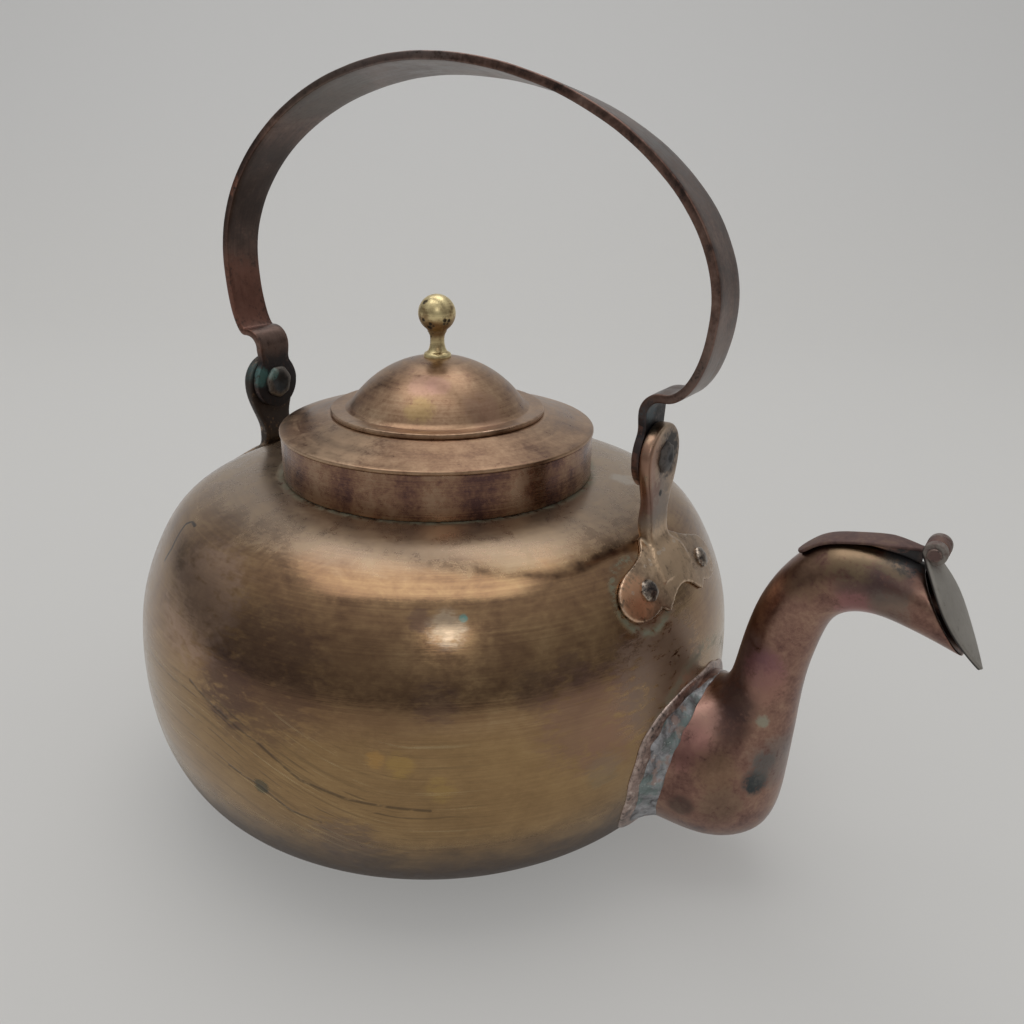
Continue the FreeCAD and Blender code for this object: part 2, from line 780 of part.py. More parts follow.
def strap_foot(side):
    """Ledge and tab at one end of the strap, as a bent plate with an eye."""
    deep = strap_wall / 2
    top = ledge_middle + deep
    under = top - strap_wall
    low = pivot_height - tab_eye_radius - overrun
    inner = tab_middle - deep
    outer = tab_middle + deep
    outer_bend = ledge_bend + strap_wall
    half_turn = math.cos(math.radians(45))
    corner_in = V(inner + outer_bend, 0, top - outer_bend)
    corner_out = V(outer + ledge_bend, 0, under - ledge_bend)
    bend_dir = V(-half_turn, 0, half_turn)
    edges = [
        line(V(ledge_start, 0, top), V(corner_in.x, 0, top)),
        arc(V(corner_in.x, 0, top), corner_in + bend_dir * outer_bend, V(inner, 0, corner_in.z)),
        line(V(inner, 0, corner_in.z), V(inner, 0, low)),
        line(V(inner, 0, low), V(outer, 0, low)),
        line(V(outer, 0, low), V(outer, 0, corner_out.z)),
        arc(V(outer, 0, corner_out.z), corner_out + bend_dir * ledge_bend, V(corner_out.x, 0, under)),
        line(V(corner_out.x, 0, under), V(ledge_start, 0, under)),
        line(V(ledge_start, 0, under), V(ledge_start, 0, top)),
    ]
    wide = tab_eye_radius + overrun
    bent = face_of(edges).translated(ACROSS * -wide).extrude(ACROSS * 2 * wide)
    outline, crest, neck = eye_outline(inner - overrun, tab_eye_radius, tab_neck_half, tab_neck_round, 1)
    shoulder = V(neck.x, strap_leg_width / 2, ledge_height)
    crown = V(neck.x, strap_leg_width / 2, top + overrun)
    outline += [line(neck, shoulder), line(shoulder, crown)]
    across = line(crown, V(crown.x, -crown.y, crown.z))
    front = face_of(both_sides(outline) + [across]).extrude(ALONG * (ledge_start - inner + 2 * overrun))
    foot = bent.common(front).cut(pivot_bore(pin_fit))
    return foot if side > 0 else mirrored_to_rear(foot)


def make_handle_strap():
    rear = list(strap_leg_angles + strap_arch_angles)
    angles = rear + [90] + [180 - angle for angle in reversed(rear)]
    sections = [strap_section(angle) for angle in angles]
    rear_lap = strap_section(angles[0]).translated(ALONG * ledge_lap)
    front_lap = strap_section(angles[-1]).translated(ALONG * -ledge_lap)
    bar = Part.makeLoft([rear_lap] + sections + [front_lap], True, False)
    return bar.fuse([strap_foot(1), strap_foot(-1)]).removeSplitter()


def build():
    """Every piece of the kettle by its name."""
    front_holes = make_rivet_holes()
    rear_holes = [mirrored_to_rear(hole) for hole in front_holes]
    spout_bore = spout_form(-spout_wall)
    front_ear = make_front_ear(front_holes)
    front_rivets = make_front_ear_rivets()
    front_pivot = make_front_pivot_rivet()
    return {
        "body_shell": make_body_shell(spout_bore, front_holes + rear_holes),
        "base_pan": make_base_pan(),
        "neck_collar": make_neck_collar(),
        "spout_tube": make_spout_tube(spout_bore),
        "spout_solder": make_spout_solder(),
        "spout_hinge_leaf": make_spout_hinge_leaf(),
        "flap_hinge_pin": make_flap_hinge_pin(),
        "spout_flap": make_spout_flap(),
        "front_ear": front_ear,
        "rear_ear": mirrored_to_rear(front_ear),
        "front_ear_rivets": front_rivets,
        "rear_ear_rivets": mirrored_to_rear(front_rivets),
        "front_pivot_rivet": front_pivot,
        "rear_pivot_rivet": mirrored_to_rear(front_pivot),
        "handle_strap": make_handle_strap(),
        "lid_skirt": make_lid_skirt(),
        "lid_top_plate": make_lid_top_plate(),
        "lid_dome": make_lid_dome(),
        "lid_knob": make_lid_knob(),
        "knob_washer": make_knob_washer(),
    }


os.makedirs("parts", exist_ok=True)
for name, shape in build().items():
    shape.exportStep("parts/" + name + ".step")
    print(name, "solids", len(shape.Solids), "volume", round(shape.Volume, 1), "valid", shape.isValid())
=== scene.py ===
"""Dresses an old copper gooseneck kettle: smooth raised sheet-metal forms with worn, streaked finishes."""
import logging
from bisect import bisect_left
from dataclasses import dataclass
from enum import Enum
from math import asin, atan2, ceil, cos, hypot, pi, radians, sin, sqrt, tan
from typing import Any, Callable, Sequence

import bmesh
import bpy
from mathutils import Matrix, Vector, noise


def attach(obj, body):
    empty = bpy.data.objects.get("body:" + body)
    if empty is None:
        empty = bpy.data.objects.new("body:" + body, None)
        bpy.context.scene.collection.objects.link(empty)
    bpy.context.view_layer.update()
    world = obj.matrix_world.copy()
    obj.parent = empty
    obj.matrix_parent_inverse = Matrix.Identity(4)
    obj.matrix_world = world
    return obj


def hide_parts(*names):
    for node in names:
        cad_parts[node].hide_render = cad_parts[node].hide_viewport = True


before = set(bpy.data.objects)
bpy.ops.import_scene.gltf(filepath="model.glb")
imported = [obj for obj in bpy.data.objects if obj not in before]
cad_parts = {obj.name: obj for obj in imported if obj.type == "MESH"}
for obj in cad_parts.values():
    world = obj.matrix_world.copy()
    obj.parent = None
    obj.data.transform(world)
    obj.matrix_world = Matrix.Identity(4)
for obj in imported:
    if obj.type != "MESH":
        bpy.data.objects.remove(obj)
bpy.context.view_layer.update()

MM = 0.001
LOG = logging.getLogger("kettle")
ACROSS = Vector((0.0, 1.0, 0.0))
BODY_PLACES = (0.36, 0.47, 0.56, 0.68)
COPPER_PLACES = (0.37, 0.46, 0.54, 0.64)
SOLDER_PLACES = (0.32, 0.5, 0.7)
CORNER_STEPS, TABLE_ROWS, HALVINGS = 5, 900, 34
STAIN_SPREAD, STAIN_GAIN, STAIN_LOSS, STAIN_EDGE = 1.5, 6.5, 1.75, (0.25, 1.15)
DULL_ROUGHER, DULL_LESS_METAL = 0.35, 0.85
Colour = tuple[float, float, float]
Spot = tuple[float, float, float]
Piece = bpy.types.Object
Paint = bpy.types.Material


class Body(Enum):
    """The moving bodies of the kettle."""

    KETTLE = "kettle"
    HANDLE = "handle"
    LID = "lid"
    FLAP = "flap"


class Side(Enum):
    """The two ends of the handle: over the spout and opposite it."""

    FRONT = 1
    REAR = -1

    @property
    def word(self) -> str:
        """Name of the side, as the nodes spell it."""
        return self.name.lower()


def lerp(a: Any, b: Any, share: float) -> Any:
    """Point or number a share of the way from a to b."""
    return a + (b - a) * share


def smooth(low: float, high: float, x: float) -> float:
    """Soft step from 0 at low to 1 at high."""
    t = min(max((x - low) / (high - low), 0.0), 1.0)
    return t * t * (3.0 - 2.0 * t)


def angles(count: int) -> list[float]:
    """Equal steps once round, in radians."""
    return [2.0 * pi * k / count for k in range(count)]


def shares(count: int) -> list[float]:
    """Equal steps from 0 to 1."""
    return [k / count for k in range(count + 1)]


def lifted(way: Vector) -> Vector:
    """Direction a quarter turn up from a way, in the plane of the spout and the handle."""
    return Vector((-way.z, 0.0, way.x))


def read_off(keys: Sequence[float], values: Sequence[float], key: float) -> float:
    """Looks up a value between the rows of a table.

    Args:
        keys: Column to search, rising.
        values: Column to read.
        key: Place in the first column.

    Returns:
        The value beside the key.
    """
    i = min(max(bisect_left(keys, key), 1), len(keys) - 1)
    share = (key - keys[i - 1]) / max(keys[i] - keys[i - 1], 1e-9)
    return lerp(values[i - 1], values[i], min(max(share, 0.0), 1.0))


def rough(point: Vector, period: float, seed: float = 0.0) -> float:
    """Hand-made unevenness at a point.

    Args:
        point: Place in millimetres.
        period: Width of one hump in millimetres.
        seed: Shift that gives another pattern.

    Returns:
        A value between about -1 and 1.
    """
    return noise.noise(point / period + Vector((seed, seed * 1.7, seed * 0.6)))


def swell(point: Vector, waves: Sequence[Spot]) -> float:
    """Sum of humps at a point, each given by its height, period and seed."""
    return sum(height * rough(point, period, seed) for height, period, seed in waves)


def solve(test: Callable[[float], float], low: float, high: float) -> float:
    """Finds where a rising test crosses zero.

    Args:
        test: Function that is below zero at low and above it at high.
        low: Start of the search.
        high: End of the search.

    Returns:
        The crossing.
    """
    for _ in range(HALVINGS):
        middle = 0.5 * (low + high)
        if test(middle) < 0.0:
            low = middle
        else:
            high = middle
    return 0.5 * (low + high)


class Curve:
    """A smooth line through points, with given directions at its ends where they matter."""

    def __init__(self, points: Sequence, start: Sequence | None = None, end: Sequence | None = None) -> None:
        """Fits the line.

        Args:
            points: Points that it goes through.
            start: Direction at the first point, or none for a free end.
            end: Direction at the last point, or none for a free end.
        """
        self.points = [Vector(p) for p in points]
        steps = [(b - a).length for a, b in zip(self.points, self.points[1:])]
        total = sum(steps)
        self.steps = [s / total for s in steps]
        self.places = [0.0]
        for step in self.steps:
            self.places.append(self.places[-1] + step)
        self.slopes = self._slopes(
            Vector(start).normalized() * total if start else None, Vector(end).normalized() * total if end else None
        )

    def _slopes(self, start: Vector | None, end: Vector | None) -> list:
        """Solves for the slopes that make the line bend evenly.

        Args:
            start: Slope at the first point, or none.
            end: Slope at the last point, or none.

        Returns:
            One slope for each point.
        """
        p, h, last = self.points, self.steps, len(self.points) - 1
        rows = []
        for i in range(last + 1):
            if i == 0:
                rows.append((0.0, 1.0, 0.0, start) if start else (0.0, 2.0, 1.0, (p[1] - p[0]) * (3.0 / h[0])))
            elif i == last:
                free = (1.0, 2.0, 0.0, (p[last] - p[last - 1]) * (3.0 / h[-1]))
                rows.append((0.0, 1.0, 0.0, end) if end else free)
            else:
                a, b = 1.0 / h[i - 1], 1.0 / h[i]
                pull = (p[i] - p[i - 1]) * (3.0 * a * a) + (p[i + 1] - p[i]) * (3.0 * b * b)
                rows.append((a, 2.0 * (a + b), b, pull))
        above, right = [], []
        for i, (low, mid, high, pull) in enumerate(rows):
            if i:
                mid, pull = mid - low * above[-1], pull - right[-1] * low
            above.append(high / mid)
            right.append(pull / mid)
        slopes = [right[-1]]
        for i in range(last - 1, -1, -1):
            slopes.append(right[i] - slopes[-1] * above[i])
        return slopes[::-1]

    def at(self, place: float) -> Vector:
        """Point at a place from 0 to 1 along the line.

        Args:
            place: Share of the way along the line.

        Returns:
            The point.
        """
        place = min(max(place, 0.0), 1.0)
        i = min(max(bisect_left(self.places, place) - 1, 0), len(self.steps) - 1)
        h = self.steps[i]
        t = (place - self.places[i]) / h
        t2, t3 = t * t, t * t * t
        return (
            self.points[i] * (2 * t3 - 3 * t2 + 1) + self.slopes[i] * (h * (t3 - 2 * t2 + t))
            + self.points[i + 1] * (3 * t2 - 2 * t3) + self.slopes[i + 1] * (h * (t3 - t2))
        )

    def along(self, place: float) -> Vector:
        """Unit direction of the line at a place."""
        return (self.at(place + 0.002) - self.at(place - 0.002)).normalized()


class Lane(Curve):
    """A smooth line with its points at given places."""

    def __init__(self, places: Sequence[float], points: Sequence[Vector]) -> None:
        """Fits the line through points at places from 0 to 1.

        Args:
            places: Places of the points, from 0 to 1.
            points: Points that it goes through.
        """
        self.points = list(points)
        self.places = list(places)
        self.steps = [b - a for a, b in zip(places, places[1:])]
        self.slopes = self._slopes(None, None)


class Sheet:
    """A mesh in the making, laid out in rows of points, in millimetres."""

    def __init__(self) -> None:
        """Starts with no points."""
        self.points: list[Vector] = []
        self.faces: list[tuple[int, ...]] = []

    def row(self, points: Sequence[Vector]) -> list[int]:
        """Adds a row of points and gives their numbers."""
        self.points.extend(Vector(p) for p in points)
        return list(range(len(self.points) - len(points), len(self.points)))

    def join(self, a: Sequence[int], b: Sequence[int], closed: bool = True) -> None:
        """Fills the strip between two rows.

        Args:
            a: One row.
            b: Its neighbour, of the same length.
            closed: Whether the rows are loops.
        """
        count = len(a)
        for i in range(count if closed else count - 1):
            j = (i + 1) % count
            self.faces.append((a[i], a[j], b[j], b[i]))

    def cap(self, loop: Sequence[int]) -> None:
        """Closes a loop with triangles round its middle."""
        centre = self.row([sum((self.points[i] for i in loop), Vector((0, 0, 0))) / len(loop)])[0]
        self.faces.extend((a, b, centre) for a, b in zip(loop, [*loop[1:], loop[0]]))

    def tube(self, loops: Sequence[Sequence[Vector]], ring: bool = False) -> "Sheet":
        """Skins loops in order.

        Args:
            loops: Loops of equal length.
            ring: Whether the last loop joins the first; otherwise both ends get caps.

        Returns:
            This sheet.
        """
        rows = [self.row(loop) for loop in loops]
        for a, b in zip(rows, rows[1:]):
            self.join(a, b)
        if ring:
            self.join(rows[-1], rows[0])
        else:
            self.cap(rows[0])
            self.cap(rows[-1])
        return self

    def build(self, name: str, sharp: float = 42.0) -> Piece:
        """Makes the object.

        Args:
            name: Name of the piece.
            sharp: Angle in degrees over which an edge shows as sharp.

        Returns:
            The object, at the origin.
        """
        mesh = bpy.data.meshes.new(name)
        mesh.from_pydata([p * MM for p in self.points], [], self.faces)
        work = bmesh.new()
        work.from_mesh(mesh)
        bmesh.ops.remove_doubles(work, verts=work.verts, dist=2e-6)
        bmesh.ops.dissolve_degenerate(work, edges=work.edges, dist=1e-6)
        bmesh.ops.recalc_face_normals(work, faces=work.faces)
        work.to_mesh(mesh)
        work.free()
        piece = bpy.data.objects.new(name, mesh)
        bpy.context.scene.collection.objects.link(piece)
        shade(piece, sharp)
        return piece


def merge(*sheets: Sheet) -> Sheet:
    """Puts several sheets into one piece.

    Args:
        sheets: Sheets to put together.

    Returns:
        The whole.
    """
    whole = Sheet()
    for sheet in sheets:
        first = len(whole.points)
        whole.points.extend(sheet.points)
        whole.faces.extend(tuple(i + first for i in face) for face in sheet.faces)
    return whole


def shade(piece: Piece, sharp: float) -> None:
    """Shades a piece smooth, but for edges over an angle in degrees."""
    piece.data.shade_smooth()
    piece.data.set_sharp_from_angle(angle=radians(sharp))


def settle(piece: Piece) -> None:
    """Turns the modifiers of a piece into mesh.

    Args:
        piece: Piece to change.
    """
    bpy.context.view_layer.update()
    graph = bpy.context.evaluated_depsgraph_get()
    done = bpy.data.meshes.new_from_object(piece.evaluated_get(graph))
    old = piece.data
    piece.modifiers.clear()
    piece.data = done
    bpy.data.meshes.remove(old)


def rounded(corners: Sequence[Spot]) -> list[Vector]:
    """Closed outline with rounded corners.

    Args:
        corners: Corner points and the radius of each.

    Returns:
        Points of the outline.
    """
    outline = []
    count = len(corners)
    for i, (x, y, radius) in enumerate(corners):
        here = Vector((x, y))
        back = Vector(corners[i - 1][:2]) - here
        ahead = Vector(corners[(i + 1) % count][:2]) - here
        if radius <= 0.0:
            outline.append(here)
            continue
        angle = back.angle(ahead)
        reach = min(radius / tan(0.5 * angle), 0.48 * back.length, 0.48 * ahead.length)
        a, b = here + back.normalized() * reach, here + ahead.normalized() * reach
        outline.extend(a * (1 - t) ** 2 + here * (2 * t * (1 - t)) + b * t ** 2 for t in shares(CORNER_STEPS))
    return outline


def divided(outline: Sequence[Vector], gap: float) -> list[Vector]:
    """Closed outline with points added so that none are further apart than a gap.

    Args:
        outline: Points of the outline.
        gap: Largest distance between points.

    Returns:
        All points in order.
    """
    dense = []
    for a, b in zip(outline, [*outline[1:], outline[0]]):
        pieces = max(1, ceil((b - a).length / gap))
        dense.extend(lerp(a, b, k / pieces) for k in range(pieces))
    return dense


def turned(
    outline: Sequence[Sequence[float]], segments: int, shift: Callable[[Vector], Vector] | None = None
) -> Sheet:
    """Turns a closed outline of (radius, height) about the upright axis.

    Args:
        outline: Points of the outline.
        segments: Steps round the axis.
        shift: Moves each point for a hand-made look.

    Returns:
        The sheet.
    """
    loops = []
    points = [Vector(p) for p in outline]
    for angle in angles(segments):
        c, s = cos(angle), sin(angle)
        loop = [Vector((p.x * c, p.x * s, p.y)) for p in points]
        loops.append([shift(p) for p in loop] if shift else loop)
    return Sheet().tube(loops, ring=True)


def strip(width: float, height: float, edge: float, across: int = 10) -> list[tuple[float, float]]:
    """Section of a flat bar with softened edges.

    Args:
        width: Half width.
        height: Half thickness.
        edge: Radius of the edges.
        across: Steps on each broad face.

    Returns:
        Points (across, up) of a closed loop, always the same number.
    """
    edge = min(edge, height * 0.98, width * 0.9)
    top = [(lerp(-width + edge, width - edge, k / across), height) for k in range(across + 1)]
    upper = [0.5 * pi * k / 5 for k in range(1, 5)]
    lower = [0.5 * pi * k / 4 for k in range(5)]
    corner = [(width - edge + edge * sin(a), height - edge + edge * cos(a)) for a in upper]
    corner += [(width - edge + edge * cos(a), -height + edge - edge * sin(a)) for a in lower]
    base = [(x, -height) for x, _ in top[::-1][1:]]
    return top + corner + base + [(-x, -z) for x, z in corner[:-1]]


def operator(operation: str, reflected: bool = False) -> Callable[..., "Value"]:
    """Makes the method of one shader sum.

    Args:
        operation: What the Math node does.
        reflected: Whether the other value comes first.

    Returns:
        The method.
    """
    def method(value: "Value", other: Any = 0.0) -> "Value":
        """Adds the Math node of this sum."""
        pair = (other, value) if reflected else (value, other)
        return value.recipe.node("ShaderNodeMath", {"operation": operation}, dict(enumerate(pair)))
    return method


class Value:
    """A socket that takes part in shader sums."""

    def __init__(self, recipe: "Network", socket: bpy.types.NodeSocket) -> None:
        """Wraps an output socket of a recipe."""
        self.recipe = recipe
        self.socket = socket

    __add__, __radd__ = operator("ADD"), operator("ADD", True)
    __sub__, __rsub__ = operator("SUBTRACT"), operator("SUBTRACT", True)
    __mul__, __rmul__ = operator("MULTIPLY"), operator("MULTIPLY", True)
    __truediv__, __rtruediv__ = operator("DIVIDE"), operator("DIVIDE", True)
    most, least, size = operator("MAXIMUM"), operator("MINIMUM"), operator("ABSOLUTE")

    def step(self, low: float, high: float) -> "Value":
        """Soft step: 0 at low, 1 at high, also where low is the larger.

        Args:
            low: Value that gives 0.
            high: Value that gives 1.

        Returns:
            The step.
        """
        ends = (1.0, 0.0) if low > high else (0.0, 1.0)
        places = dict(enumerate((self, min(low, high), max(low, high), *ends)))
        return self.recipe.node("ShaderNodeMapRange", {"interpolation_type": "SMOOTHSTEP"}, places)


class Network:
    """Shader nodes of one tree."""

    def __init__(self, tree: bpy.types.NodeTree) -> None:
        """Starts with an empty tree."""
        self.tree = tree
        self.tree.nodes.clear()

    def node(
        self, kind: str, settings: dict | None = None, sockets: dict | None = None, output: int | str = 0
    ) -> Value:
        """Adds a node.

        Args:
            kind: Type of the node.
            settings: Properties, set first; "stops" fills a colour ramp.
            sockets: Values or links, by the name or number of the input.
            output: Name or number of the output wanted.

        Returns:
            That output.
        """
        made = self.tree.nodes.new(kind)
        for key, value in (settings or {}).items():
            if key == "stops":
                stops = made.color_ramp.elements
                while len(stops) < len(value):
                    stops.new(0.5)
                for stop, (place, colour) in zip(stops, value):
                    stop.position = place
                    stop.color = (*colour, 1.0)
            else:
                setattr(made, key, value)
        for key, value in (sockets or {}).items():
            self.feed(made.inputs[key], value)
        return Value(self, made.outputs[output])

    def feed(self, socket: bpy.types.NodeSocket, value: Any) -> None:
        """Links or sets one input.

        Args:
            socket: Input of a node.
            value: Output to link, or value to set.
        """
        if isinstance(value, Value):
            self.tree.links.new(value.socket, socket)
        elif socket.type == "RGBA":
            socket.default_value = (*value, 1.0)
        else:
            socket.default_value = value


class Recipe(Network):
    """A material in the making, worked in millimetres of the piece's own frame."""

    def __init__(self, name: str) -> None:
        """Starts a material with a bare shader.

        Args:
            name: Name of the material.
        """
        self.material = bpy.data.materials.new(name)
        self.material.use_nodes = True
        super().__init__(self.material.node_tree)
        self.shader = self.tree.nodes.new("ShaderNodeBsdfPrincipled")
        output = self.tree.nodes.new("ShaderNodeOutputMaterial")
        self.tree.links.new(self.shader.outputs[0], output.inputs[0])
        self.output = output
        self.colour: Any = None
        self.dull: Value | None = None
        self.place = self.node(
            "ShaderNodeVectorMath", {"operation": "SCALE"},
            {0: self.node("ShaderNodeTexCoord", output="Object"), "Scale": 1.0 / MM},
        )

    def vector(self, operation: str, *parts: Any) -> Value:
        """Vector from a Vector Math node."""
        return self.node("ShaderNodeVectorMath", {"operation": operation}, dict(enumerate(parts)))

    def measure(self, operation: str, *parts: Any) -> Value:
        """Number from a Vector Math node."""
        return self.node("ShaderNodeVectorMath", {"operation": operation}, dict(enumerate(parts)), "Value")

    def axis(self, index: int) -> Value:
        """One coordinate, in millimetres."""
        return self.node("ShaderNodeSeparateXYZ", None, {0: self.place}, index)

    @staticmethod
    def shift(seed: float) -> Spot:
        """Step to another part of an endless pattern."""
        return (seed, seed * 1.3, seed * 0.7)

    def grain(
        self, periods: Sequence[float], detail: float = 4.0, fade: float = 0.55, seed: float = 0.0, warp: float = 0.0
    ) -> Value:
        """Cloudy pattern between 0 and 1.

        Args:
            periods: Width of one cloud along each axis, in millimetres.
            detail: Number of finer layers.
            fade: Strength of each finer layer.
            seed: Shift that gives another pattern.
            warp: Twist of the clouds.

        Returns:
            The pattern.
        """
        scaled = self.vector("MULTIPLY_ADD", self.place, tuple(1.0 / p for p in periods), self.shift(seed))
        return self.node(
            "ShaderNodeTexNoise", None,
            {"Vector": scaled, "Scale": 1.0, "Detail": detail, "Roughness": fade, "Distortion": warp},
        )

    def field(self, parts: Sequence[Any], detail: float, fade: float, seed: float) -> Value:
        """Cloudy pattern over coordinates of one's own.

        Args:
            parts: Three values to look it up by.
            detail: Number of finer layers.
            fade: Strength of each finer layer.
            seed: Shift that gives another pattern.

        Returns:
            The pattern, between 0 and 1.
        """
        spot = self.node("ShaderNodeCombineXYZ", None, dict(enumerate(parts)))
        moved = self.vector("ADD", spot, self.shift(seed))
        sockets = {"Vector": moved, "Scale": 1.0, "Detail": detail, "Roughness": fade}
        return self.node("ShaderNodeTexNoise", None, sockets)

    def turn(self) -> Value:
        """Angle round the upright axis, in radians."""
        return self.node("ShaderNodeMath", {"operation": "ARCTAN2"}, {0: self.axis(1), 1: self.axis(0)})

    def span(self) -> Value:
        """Distance from the upright axis."""
        return self.measure("LENGTH", self.vector("MULTIPLY", self.place, (1.0, 1.0, 0.0)))

    def ring(self, point: Sequence[float], radius: float, width: float) -> Value:
        """Mask on a shell round a point."""
        away = self.measure("DISTANCE", self.place, tuple(point))
        return (away - radius).size().step(width, 0.0)

    def line(self, path: Sequence[Sequence[float]], width: float) -> Value:
        """Mask along a thin stroke.

        Args:
            path: Points of the stroke, in millimetres.
            width: Half of its width.

        Returns:
            The mask.
        """
        mask: Any = None
        for a, b in zip(path, path[1:]):
            way = Vector(b) - Vector(a)
            off = self.vector("SUBTRACT", self.place, tuple(a))
            share = self.measure("DOT_PRODUCT", off, tuple(way / way.length_squared)).most(0.0).least(1.0)
            foot = self.node("ShaderNodeVectorMath", {"operation": "SCALE"}, {0: tuple(way), "Scale": share})
            stroke = self.measure("DISTANCE", off, foot).step(width, width * 0.3)
            mask = stroke if mask is None else mask.most(stroke)
        return mask

    def rise_over(self, point: Sequence[float], normal: Sequence[float]) -> Value:
        """Height over a plane, in millimetres."""
        return self.measure("DOT_PRODUCT", self.vector("SUBTRACT", self.place, tuple(point)), tuple(normal))

    def facing(self, way: Sequence[float]) -> Value:
        """How far the surface faces a way, from -1 to 1."""
        return self.measure("DOT_PRODUCT", self.node("ShaderNodeTexCoord", output="Normal"), tuple(way))

    def deaden(self, mask: Value) -> None:
        """Takes the shine off where a mask lies."""
        self.dull = self.dull.most(mask) if self.dull else mask

    def coat(self, weight: float, roughness: float) -> None:
        """Thin hard film over the metal."""
        self.shader.inputs["Coat Weight"].default_value = weight
        self.shader.inputs["Coat Roughness"].default_value = roughness

    def near(self, point: Sequence[float], reach: float, full: float = 0.0) -> Value:
        """Mask round a point.

        Args:
            point: Place in millimetres.
            reach: Distance at which it ends.
            full: Distance within which it is whole.

        Returns:
            The mask.
        """
        away = self.measure("DISTANCE", self.place, tuple(point))
        return away.step(reach, full)

    def blend(self, share: Any, a: Any, b: Any) -> Value:
        """Colour a share of the way from a to b."""
        return self.node("ShaderNodeMix", {"data_type": "RGBA", "clamp_factor": True}, {0: share, 6: a, 7: b}, 2)

    def over(self, share: Value, colour: Colour) -> None:
        """Lays a colour over the colour so far."""
        self.colour = self.blend(share, self.colour, colour)

    def ramp(self, share: Value, stops: Sequence[tuple[float, Colour]]) -> Value:
        """Colour from a scale of stops."""
        return self.node("ShaderNodeValToRGB", {"stops": stops}, {0: share})

    def dress(self, roughness: Any, metallic: Any, height: Value, depth: float) -> Paint:
        """Feeds the shader.

        Args:
            roughness: Roughness.
            metallic: Metallic share.
            height: Relief from 0 to 1.
            depth: Height of the relief in millimetres.

        Returns:
            The finished material.
        """
        sockets = self.shader.inputs
        if self.dull:
            roughness, metallic = roughness + self.dull * DULL_ROUGHER, metallic - self.dull * DULL_LESS_METAL
            self.feed(sockets["Coat Weight"], (1.0 - self.dull) * sockets["Coat Weight"].default_value)
        self.feed(sockets["Base Color"], self.colour)
        self.feed(sockets["Roughness"], roughness)
        self.feed(sockets["Metallic"], metallic)
        bump = self.node("ShaderNodeBump", None, {"Height": height, "Distance": depth * MM, "Strength": 1.0})
        self.feed(sockets["Normal"], bump)
        return self.material


@dataclass(frozen=True)
class Patch:
    """A stain, or a patch of painted light or shade, at one place."""

    point: Spot
    reach: float
    colour: Colour
    share: float = 0.7
    dull: float = 0.0

    def lay(self, recipe: Recipe, ragged: Value) -> None:
        """Lays the patch over the colour so far.

        Args:
            recipe: Material in the making.
            ragged: Pattern that breaks up its edge.
        """
        mask = recipe.near(self.point, self.reach * STAIN_SPREAD) * (ragged * STAIN_GAIN - STAIN_LOSS)
        mask = mask.step(*STAIN_EDGE)
        if self.dull:
            recipe.deaden(mask * self.dull)
        recipe.over(mask * self.share, self.colour)


def stains(*rows: tuple) -> tuple[Patch, ...]:
    """Patches, stains and some painted light and shade, from rows of point, reach, colour, share and dullness."""
    return tuple(Patch(*row) for row in rows)


